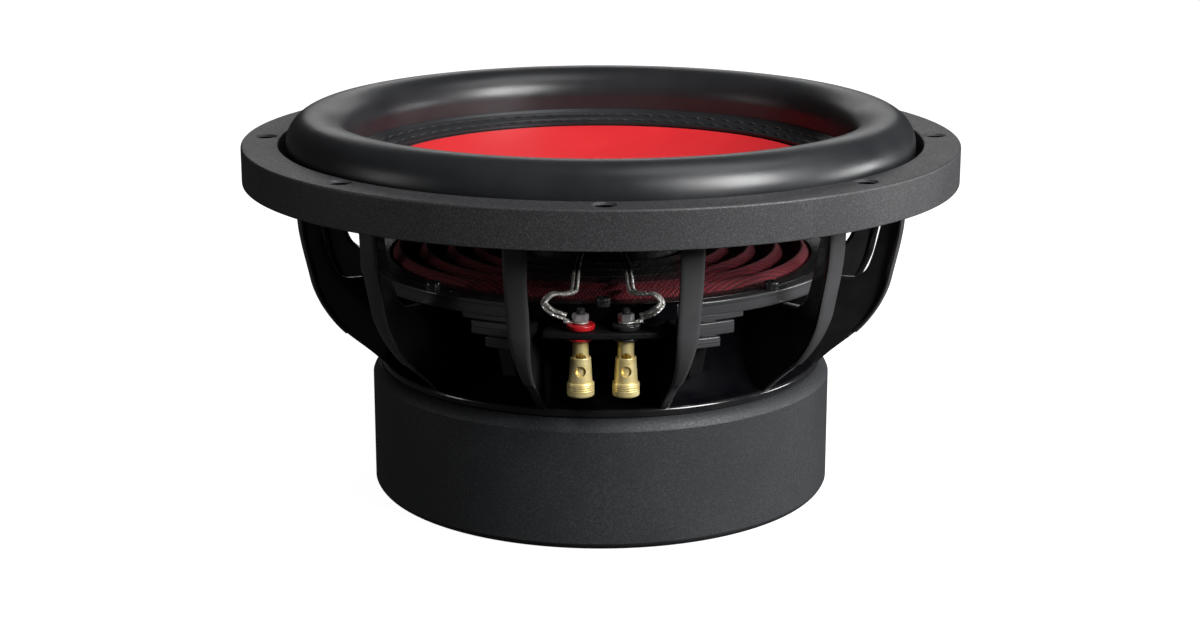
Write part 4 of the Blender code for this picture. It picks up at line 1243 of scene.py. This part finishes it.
def arm_web_mesh():
    """The arm's radial web, from the flange down round the neck to the foot."""
    face = [(point.x - ARM_WEB_INSET, point.y) for point in smooth_curve(ARM_OUTER_FACE, 6)]
    neck = neck_arc(NECK_RADIUS + NECK_GAP, BOWL_LIP_TOP - 2 * MM, ARM_NECK_TOP, 20)
    inner = [tuple(point) for point in smooth_curve(ARM_WEB_INNER_EDGE, 6)]
    outline = [*face, ARM_FOOT, *neck[1:], *inner]
    return plate_mesh("arm_detail", outline, ARM_WEB_THICKNESS, ARM_WEB_ROUNDING, UPRIGHT, "gloss")


def bar_width(height):
    """Width of the arm's outer bar at a height."""
    low, middle, high = ARM_BAR_WIDTHS
    if height < middle[0]:
        low, high = low, middle
    else:
        low, high = middle, high
    share = (height - low[0]) / (high[0] - low[0])
    return low[1] + share * (high[1] - low[1])


def arm_bar_mesh():
    """The outer bar: a crowned strip that follows the arm's face and narrows downwards."""
    face = [point for point in smooth_curve(ARM_OUTER_FACE, 10) if point.y >= ARM_BAR_BOTTOM]
    route, sections = [], []
    for index, point in enumerate(face):
        ahead = face[min(index + 1, len(face) - 1)] - face[max(index - 1, 0)]
        normal = Vector((-ahead.y, 0.0, ahead.x)).normalized()
        half = bar_width(point.y) / 2
        corners = [
            (0.0, -half, ARM_BAR_ROUNDING),
            (ARM_BAR_CROWN, 0.0, half * 0.8),
            (0.0, half, ARM_BAR_ROUNDING),
            (-ARM_BAR_THICKNESS, half - 0.5 * MM, ARM_BAR_ROUNDING),
            (-ARM_BAR_THICKNESS, 0.5 * MM - half, ARM_BAR_ROUNDING),
        ]
        route.append(Vector((point.x, 0.0, point.y)))
        sections.append([normal * out + Vector((0, side, 0)) for out, side in rounded(corners, 3)])
    return new_mesh("arm_bar", *swept_points(route, sections), LOOKS["gloss"])


def is_arm_face(face):
    """Whether a face of the arm is on the outward side of its bar."""
    high = face.center.z > ARM_BAR_BOTTOM - 0.5 * MM and face.center.x > ARM_SATIN_RADIUS
    return high and face.normal.x > ARM_SATIN_SLOPE


def build_arms():
    """The basket's arms: one mesh, turned to each arm's place."""
    mesh = combined(arm_web_mesh(), arm_bar_mesh(), 'UNION')
    paint(mesh, "satin", is_arm_face)
    nodes = [f"basket_arm_{number:02d}" for number in range(1, ARM_COUNT + 1)]
    turns = [facing(ARM_FIRST_ANGLE + 360 / ARM_COUNT * k) for k in range(ARM_COUNT)]
    place_copies(mesh, nodes, turns)


def build_bracket():
    """Stepped bracket under the ledge, with upright ribs below its ends."""
    radius = ring_size("terminal_bracket")[1]
    mesh = None
    for half_angle, bottom, top in BRACKET_STEPS:
        outline = sector(BRACKET_BORE, radius, half_angle, 1.5 * MM)
        step = level_plate("step", outline, bottom, top, 0.5 * MM, "machined")
        mesh = combined(mesh, step, 'UNION') if mesh else step
    low = BRACKET_STEPS[-1][1] + BRACKET_CORE_RECESS
    high = BRACKET_STEPS[0][2] - BRACKET_CORE_RECESS
    outline = sector(BRACKET_BORE, radius - BRACKET_CORE_INSET, BRACKET_STEPS[-1][0] - 0.5, 0.5 * MM)
    core = level_plate("core", outline, low, high, 0.2 * MM, "gloss")
    mesh = combined(mesh, core, 'UNION')
    # Painted shade on the bracket behind the terminals.
    paint_shade_behind_terminals(mesh)
    add_piece("terminal_bracket_detail", mesh, FRAME, "terminal_bracket")
    build_bracket_ribs()


def build_bracket_ribs():
    """Upright ribs on the neck, under the ends of the bracket's steps."""
    top = BRACKET_STEPS[0][1] + MM
    neck = neck_arc(NECK_RADIUS + NECK_GAP, BRACKET_RIB_BOTTOM, top, 10)
    outline = [(BRACKET_RIB_RADIUS, top), (BRACKET_RIB_RADIUS, top - 3 * MM),
               (BRACKET_RIB_RADIUS - 9 * MM, BRACKET_RIB_BOTTOM), *neck]
    for number, angle in enumerate(BRACKET_RIB_ANGLES, start=1):
        matrix = facing(angle) @ UPRIGHT
        mesh = plate_mesh("rib", outline, BRACKET_RIB_THICKNESS, 0.6 * MM, matrix, "gloss")
        piece = add_piece(f"bracket_rib_{number}", mesh, FRAME)


def build_terminal_plate():
    """Insulating plate between the two front arms, with a hole for each stud."""
    low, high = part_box("terminal_plate")
    inner, *_ = ring_size("terminal_plate")
    half_angle = math.degrees(math.asin(high.x / -low.y))
    holes = [circle(axis_of(f"terminal_post_{colour}")[:2], LUG_HOLE_RADIUS) for colour, _ in SIDES]
    outline = sector(inner, -low.y, half_angle, 2.2 * MM)
    mesh = level_plate("terminal_plate_detail", outline, low.z, high.z, 0.6 * MM, "board", holes)
    add_piece("terminal_plate_detail", mesh, FRAME, "terminal_plate")


def build_washers(colour):
    """The insulating washers above and below the plate; the lower one tapers more."""
    for where, taper, rim in (("upper", 0.94, 1.1 * MM), ("lower", 0.78, 0.4 * MM)):
        node = f"terminal_washer_{colour}_{where}"
        low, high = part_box(node)
        radius = (high.x - low.x) / 2
        corners = [
            (LUG_HOLE_RADIUS, high.z, 0.2 * MM),
            (radius, high.z, rim),
            (radius, (low.z + high.z) / 2, 0.8 * MM),
            (radius * taper, low.z, 0.4 * MM),
            (LUG_HOLE_RADIUS, low.z, 0.2 * MM),
        ]
        place = axis_of(f"terminal_washer_{colour}_upper")
        turned_piece(node + "_detail", rounded(corners), colour, FRAME, node, facets=MEDIUM, centre=place)


def cross_hole(place, height):
    """A cutter through a post or sleeve, along Y."""
    cutter = turned_mesh("wire_hole", plug(WIRE_HOLE_RADIUS, 8 * MM, -8 * MM), None, SMALL)
    cutter.transform(Matrix.Translation(place + Vector((0, 0, height)))
                     @ Matrix.Rotation(math.radians(90), 4, 'X'))
    return cutter


def thread_profile(bottom, top):
    """The stud's thread, as rings from its top down to its bottom."""
    points = [(0.0, top), (STUD_RADIUS - 0.5 * MM, top), (STUD_RADIUS, top - 0.5 * MM)]
    turns = int((top - bottom - MM) / THREAD_PITCH)
    for turn in range(turns):
        height = top - 0.6 * MM - turn * THREAD_PITCH
        points.append((STUD_RADIUS, height))
        points.append((STUD_RADIUS - THREAD_DEPTH, height - THREAD_PITCH * 0.5))
    points.append((STUD_RADIUS, bottom))
    return points


def build_post(colour):
    """Stud above the plate, gold body with the wire hole, and a pocket for the spring."""
    node = f"terminal_post_{colour}"
    low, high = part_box(node)
    place = axis_of(node)
    collar_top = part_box(f"terminal_washer_{colour}_lower")[0].z
    body = rounded([
        (STUD_RADIUS, collar_top, 0),
        (POST_RADIUS, collar_top, 0.4 * MM),
        (POST_RADIUS, low.z, 0.3 * MM),
        (SPRING_POCKET_RADIUS, low.z, 0.2 * MM),
        (SPRING_POCKET_RADIUS, SPRING_POCKET_TOP, 0),
        (0.0, SPRING_POCKET_TOP, 0),
    ])
    mesh = turned_mesh(node + "_detail", thread_profile(collar_top, high.z) + body[1:],
                       LOOKS["gold"], SMALL, place)
    mesh = combined(mesh, cross_hole(place, WIRE_HOLE_HEIGHT), 'DIFFERENCE')
    paint(mesh, "screw", lambda face: face.center.z > collar_top + 0.1 * MM)
    add_piece(node + "_detail", mesh, FRAME, node)


def build_sleeve(colour):
    """Push sleeve that slides up the post until its hole meets the post's hole."""
    node = f"terminal_sleeve_{colour}"
    low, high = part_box(node)
    cap_radius = (high.x - low.x) / 2
    place = axis_of(node)
    corners = [
        (SLEEVE_BORE, high.z, 0.15 * MM),
        (SLEEVE_TOP_RADIUS, high.z, 0.35 * MM),
        (SLEEVE_LOW_RADIUS, SLEEVE_CAP_TOP, 0.15 * MM),
        (cap_radius - 0.15 * MM, SLEEVE_CAP_TOP, 0.5 * MM),
    ]
    for groove in range(SLEEVE_GROOVES):
        height = SLEEVE_CAP_TOP - 1.1 * MM - groove * 0.95 * MM
        corners.append((cap_radius, height + 0.2 * MM, 0.05 * MM))
        corners.append((cap_radius - 0.22 * MM, height, 0.05 * MM))
        corners.append((cap_radius, height - 0.2 * MM, 0.05 * MM))
    corners += [
        (cap_radius, low.z, 1.0 * MM),
        (0.0, low.z, 0),
        (0.0, low.z + SLEEVE_FLOOR, 0),
        (SLEEVE_BORE, low.z + SLEEVE_FLOOR, 0),
    ]
    mesh = turned_mesh(node + "_detail", rounded(corners), LOOKS["gold"], MEDIUM, place)
    mesh = combined(mesh, cross_hole(place, WIRE_HOLE_HEIGHT - SLEEVE_TRAVEL), 'DIFFERENCE')
    add_piece(node + "_detail", mesh, SLEEVE_BODY[colour], node)


def build_spring(colour):
    """Return spring between the post's pocket and the sleeve's floor."""
    node = f"terminal_spring_{colour}"
    low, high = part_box(node)
    place = axis_of(f"terminal_post_{colour}")
    bottom, top = low.z + SPRING_WIRE_RADIUS, high.z - SPRING_WIRE_RADIUS
    steps = SPRING_TURNS * SPRING_STEPS
    route = []
    for step in range(steps + 1):
        turn = 2 * math.pi * SPRING_TURNS * step / steps
        height = bottom + (top - bottom) * step / steps
        route.append(place + Vector((SPRING_RADIUS * math.cos(turn),
                                     SPRING_RADIUS * math.sin(turn), height)))
    mesh = joined_mesh(node + "_detail", [tube_points(route, SPRING_WIRE_RADIUS)], LOOKS["steel"])
    piece = add_piece(node + "_detail", mesh, FRAME, node, flat_faces=False)
    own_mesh(piece)


def build_lug(colour, side):
    """Tinned lug on the stud, with a crimped tab that holds the lead."""
    node = f"solder_lug_{colour}"
    low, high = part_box(node)
    place = axis_of(f"terminal_post_{colour}")
    ring_radius = (high.y - low.y) / 2
    reach = max(high.x - place.x, place.x - low.x)
    half = LUG_TAB_HALF_WIDTH
    spread = math.degrees(math.asin(half / ring_radius))
    ring = arc((0, 0), ring_radius, spread, 360 - spread, 40)
    outline = [*ring, *rounded([(reach, -half, 1.2 * MM), (reach, half, 1.2 * MM), (0, half, 0)])[:-1]]
    turn = Matrix.Rotation(math.radians(180 if side < 0 else 0), 4, 'Z')
    matrix = Matrix.Translation((place.x, place.y, (low.z + high.z) / 2)) @ turn
    hole = circle((0, 0), LUG_HOLE_RADIUS)
    mesh = plate_mesh(node + "_detail", outline, high.z - low.z, 0.15 * MM, matrix, "braid", [hole])
    add_piece(node + "_detail", mesh, FRAME, node)
    build_solder(colour, place + Vector((side * (reach - SOLDER_INSET), 0.0, high.z)))


def build_solder(colour, place):
    """The blob of solder that holds the lead on its lug."""
    profile = [(0.0, 0.85 * MM), (0.6 * MM, 0.8 * MM), (1.1 * MM, 0.5 * MM), (1.4 * MM, 0.1 * MM),
               (1.45 * MM, -0.1 * MM), (0.0, -0.1 * MM)]
    smooth = [tuple(point) for point in smooth_curve(profile[:-1], 4)] + [profile[-1]]
    piece = turned_piece(f"solder_{colour}", smooth, "braid", FRAME,
                         facets=32, centre=place, flat_faces=False)


def build_nut(colour):
    """Hexagon nut with chamfered corners."""
    node = f"terminal_nut_{colour}"
    low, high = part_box(node)
    radius = (high.x - low.x) / 2
    place = axis_of(f"terminal_post_{colour}")
    flats = radius * math.cos(math.pi / 6)
    limits = [
        (0.0, high.z + MM),
        (flats - MM, high.z + MM),
        (flats + 0.05 * MM, high.z - 0.05 * MM),
        (radius + 0.1 * MM, high.z - NUT_CHAMFER),
        (radius + 0.1 * MM, low.z + NUT_CHAMFER),
        (flats + 0.05 * MM, low.z + 0.05 * MM),
        (flats - MM, low.z - MM),
        (0.0, low.z - MM),
    ]
    chamfer = turned_mesh("chamfer", limits, LOOKS["steel"], SMALL, place)
    bore = turned_mesh("bore", plug(STUD_RADIUS, high.z + MM, low.z - MM), None, SMALL, place)
    mesh = turned_mesh(node + "_detail", plug(radius, high.z, low.z), LOOKS["steel"], 6, place)
    mesh = combined(mesh, chamfer, 'INTERSECT')
    mesh = combined(mesh, bore, 'DIFFERENCE')
    shade(mesh, 20)
    add_piece(node + "_detail", mesh, FRAME, node)


def braid_solids(route):
    """Two braided cords side by side along the route, each of three plaited strands."""
    frames = route_frames(route)
    lengths = [0.0]
    for a, b in zip(route, route[1:]):
        lengths.append(lengths[-1] + (b - a).length)
    solids = []
    for cord in (-0.5, 0.5):
        for strand in range(BRAID_STRANDS):
            path = []
            for place, (across, up), length in zip(route, frames, lengths):
                turn = 2 * math.pi * (length / BRAID_PITCH + strand / BRAID_STRANDS)
                offset = across * (cord * STRAND_SPACING + BRAID_RADIUS * math.cos(turn))
                path.append(place + offset + up * BRAID_RADIUS * math.sin(turn))
            solids.append(tube_points(path, STRAND_RADIUS, 6))
    return solids


def build_lead(colour, side):
    """Braided lead from the coil former, over the spider and round to its lug."""
    node = f"tinsel_lead_{colour}"
    route = smooth_curve([(x * -side, y, z) for x, y, z in LEAD_ROUTE], 24)
    mesh = joined_mesh(node + "_detail", braid_solids(route), LOOKS["braid"])
    piece = add_piece(node + "_detail", mesh, None, flat_faces=False)
    stretch_across(piece, spider_share)
    stand_for(piece, node)


def build_terminals():
    build_terminal_plate()
    for colour, side in SIDES:
        build_washers(colour)
        build_post(colour)
        build_sleeve(colour)
        build_spring(colour)
        build_lug(colour, side)
        build_nut(colour)
        build_lead(colour, side)


def build_yoke():
    """Back plate and pole in one, with the flared vent through it."""
    _, radius, bottom, top = ring_size("t_yoke")
    profile = rounded([
        (VENT_RADIUS, top, 1.0 * MM),
        (POLE_RADIUS, top, 0.6 * MM),
        (POLE_RADIUS, POLE_HEAD_BOTTOM, 0.3 * MM),
        (POLE_NECK_RADIUS, POLE_HEAD_BOTTOM, 0),
        (POLE_NECK_RADIUS, YOKE_PLATE_TOP, 0),
        (radius, YOKE_PLATE_TOP, 0.6 * MM),
        (radius, bottom, 1.0 * MM),
        (VENT_FLARE_RADIUS, bottom, 1.5 * MM),
        (VENT_RADIUS, VENT_FLARE_TOP, 4.0 * MM),
    ], 8)
    turned_piece("t_yoke_detail", profile, "steel", FRAME, "t_yoke")


def creased_edge(flat_end, crease):
    """A bulging edge from a level surface to an upright wall, which it meets in a crease."""
    sweep = math.radians(BOOT_CREASE_SWEEP)
    points = []
    for step in range(BOOT_CREASE_STEPS + 1):
        turn = sweep * step / BOOT_CREASE_STEPS
        out = math.sin(turn) / math.sin(sweep)
        down = (1 - math.cos(turn)) / (1 - math.cos(sweep))
        points.append((flat_end[0] + (crease[0] - flat_end[0]) * out,
                       flat_end[1] + (crease[1] - flat_end[1]) * down))
    return points


def build_boot():
    """Rubber boot round the motor, with a rounded shoulder and foot."""
    _, radius, bottom, top = ring_size("magnet_boot")
    shoulder = creased_edge((BOOT_SHOULDER_RADIUS, top), (radius, BOOT_SHOULDER_CREASE))
    foot = creased_edge((radius - BOOT_FOOT_WIDTH, bottom), (radius, BOOT_FOOT_CREASE))
    inside = rounded([
        (*foot[0], 0),
        (BOOT_FLOOR_BORE, bottom, 0.6 * MM),
        (BOOT_FLOOR_BORE, BOOT_FLOOR, 0.6 * MM),
        (BOOT_BORE, BOOT_FLOOR, 0),
        (BOOT_BORE, BOOT_LIP_BOTTOM, 0),
        (BOOT_LIP_BORE, BOOT_LIP_BOTTOM, 0.3 * MM),
        (BOOT_LIP_BORE, top, 0.5 * MM),
    ])
    profile = [*shoulder, *reversed(foot), *inside[1:]]
    mesh = turned_mesh("magnet_boot_detail", profile, LOOKS["boot"])
    shade(mesh, 16)
    add_piece("magnet_boot_detail", mesh, FRAME, "magnet_boot")


def build_motor():
    """The yoke, the plain rings of the motor and the coil on its former."""
    build_yoke()
    for node, look, body, rounding in (
            ("top_plate", "steel", FRAME, 0.6 * MM),
            ("magnet_lower", "ferrite", FRAME, 0.8 * MM),
            ("magnet_upper", "ferrite", FRAME, 0.8 * MM),
            ("shorting_ring", "aluminium", FRAME, 0.2 * MM),
            ("coil_former", "former", CONE, 0.1 * MM),
            ("voice_coil", "copper", CONE, 0.3 * MM)):
        build_ring(node, look, body, rounding)


def build_stage():
    """Plain white floor, which throws no light back at the speaker."""
    look = Look("stage_white", FLOOR_COLOUR, 0.9)
    look.set("Emission Color", WHITE)
    look.set("Emission Strength", FLOOR_GLOW)
    size = FLOOR_HALF_WIDTH
    mesh = bpy.data.meshes.new("floor")
    corners = [(-size, -size, 0.0), (size, -size, 0.0), (size, size, 0.0), (-size, size, 0.0)]
    mesh.from_pydata(corners, [], [(0, 1, 2, 3)])
    mesh.materials.append(look.material)
    floor = bpy.data.objects.new("floor", mesh)
    bpy.context.scene.collection.objects.link(floor)
    floor.visible_diffuse = False
    floor.visible_glossy = False


def add_softbox(name, azimuth, elevation, distance, width, height, power):
    """An area light that faces the middle of the speaker."""
    target = Vector(LIGHT_TARGET)
    level = distance * math.cos(math.radians(elevation))
    place = target + around(level, azimuth, distance * math.sin(math.radians(elevation)))
    lamp = bpy.data.lights.new(name, 'AREA')
    lamp.shape = 'RECTANGLE'
    lamp.size = width
    lamp.size_y = height
    lamp.energy = power
    light = bpy.data.objects.new(name, lamp)
    light.location = place
    light.rotation_euler = (target - place).to_track_quat('-Z', 'Y').to_euler()
    bpy.context.scene.collection.objects.link(light)


def build_world():
    """A white backdrop for the camera, and a dim light from all round for everything else."""
    world = bpy.data.worlds.new("studio")
    bpy.context.scene.world = world
    world.use_nodes = True
    nodes, links = world.node_tree.nodes, world.node_tree.links
    mix = nodes.new("ShaderNodeMixShader")
    dim, bright = nodes["Background"], nodes.new("ShaderNodeBackground")
    for index, (light, strength) in enumerate(((dim, AMBIENT_STRENGTH), (bright, 1.0)), start=1):
        light.inputs["Color"].default_value = WHITE
        light.inputs["Strength"].default_value = strength
        links.new(light.outputs[0], mix.inputs[index])
    rays = nodes.new("ShaderNodeLightPath")
    links.new(rays.outputs["Is Camera Ray"], mix.inputs[0])
    links.new(mix.outputs[0], nodes["World Output"].inputs["Surface"])


def build_camera():
    """In front and a little above, looking down at the terminal side."""
    camera = bpy.data.cameras.new("camera")
    camera.sensor_width = CAMERA_SENSOR
    camera.lens = CAMERA_LENS
    camera.clip_start = CAMERA_CLIP
    view = bpy.data.objects.new("camera", camera)
    view.location = around(CAMERA_DISTANCE, CAMERA_ANGLE, CAMERA_HEIGHT)
    view.rotation_euler = (math.radians(90 - CAMERA_TILT), 0.0, math.radians(CAMERA_ANGLE + CAMERA_TURN))
    bpy.context.scene.collection.objects.link(view)
    bpy.context.scene.camera = view


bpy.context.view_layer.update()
LOOKS = make_looks()
build_camera()
for softbox in SOFTBOXES:
    add_softbox(*softbox)
build_world()
build_stage()
build_trim_ring()
build_flange()
build_surround()
build_stitching()
build_dish()
build_cone()
build_spider()
build_ring("spider_clamp_ring", "black", FRAME, 0.3 * MM)
build_ledge()
build_screws()
build_bowl()
build_arms()
build_bracket()
build_terminals()
build_motor()
build_boot()
bpy.context.scene.view_settings.view_transform = 'Standard'
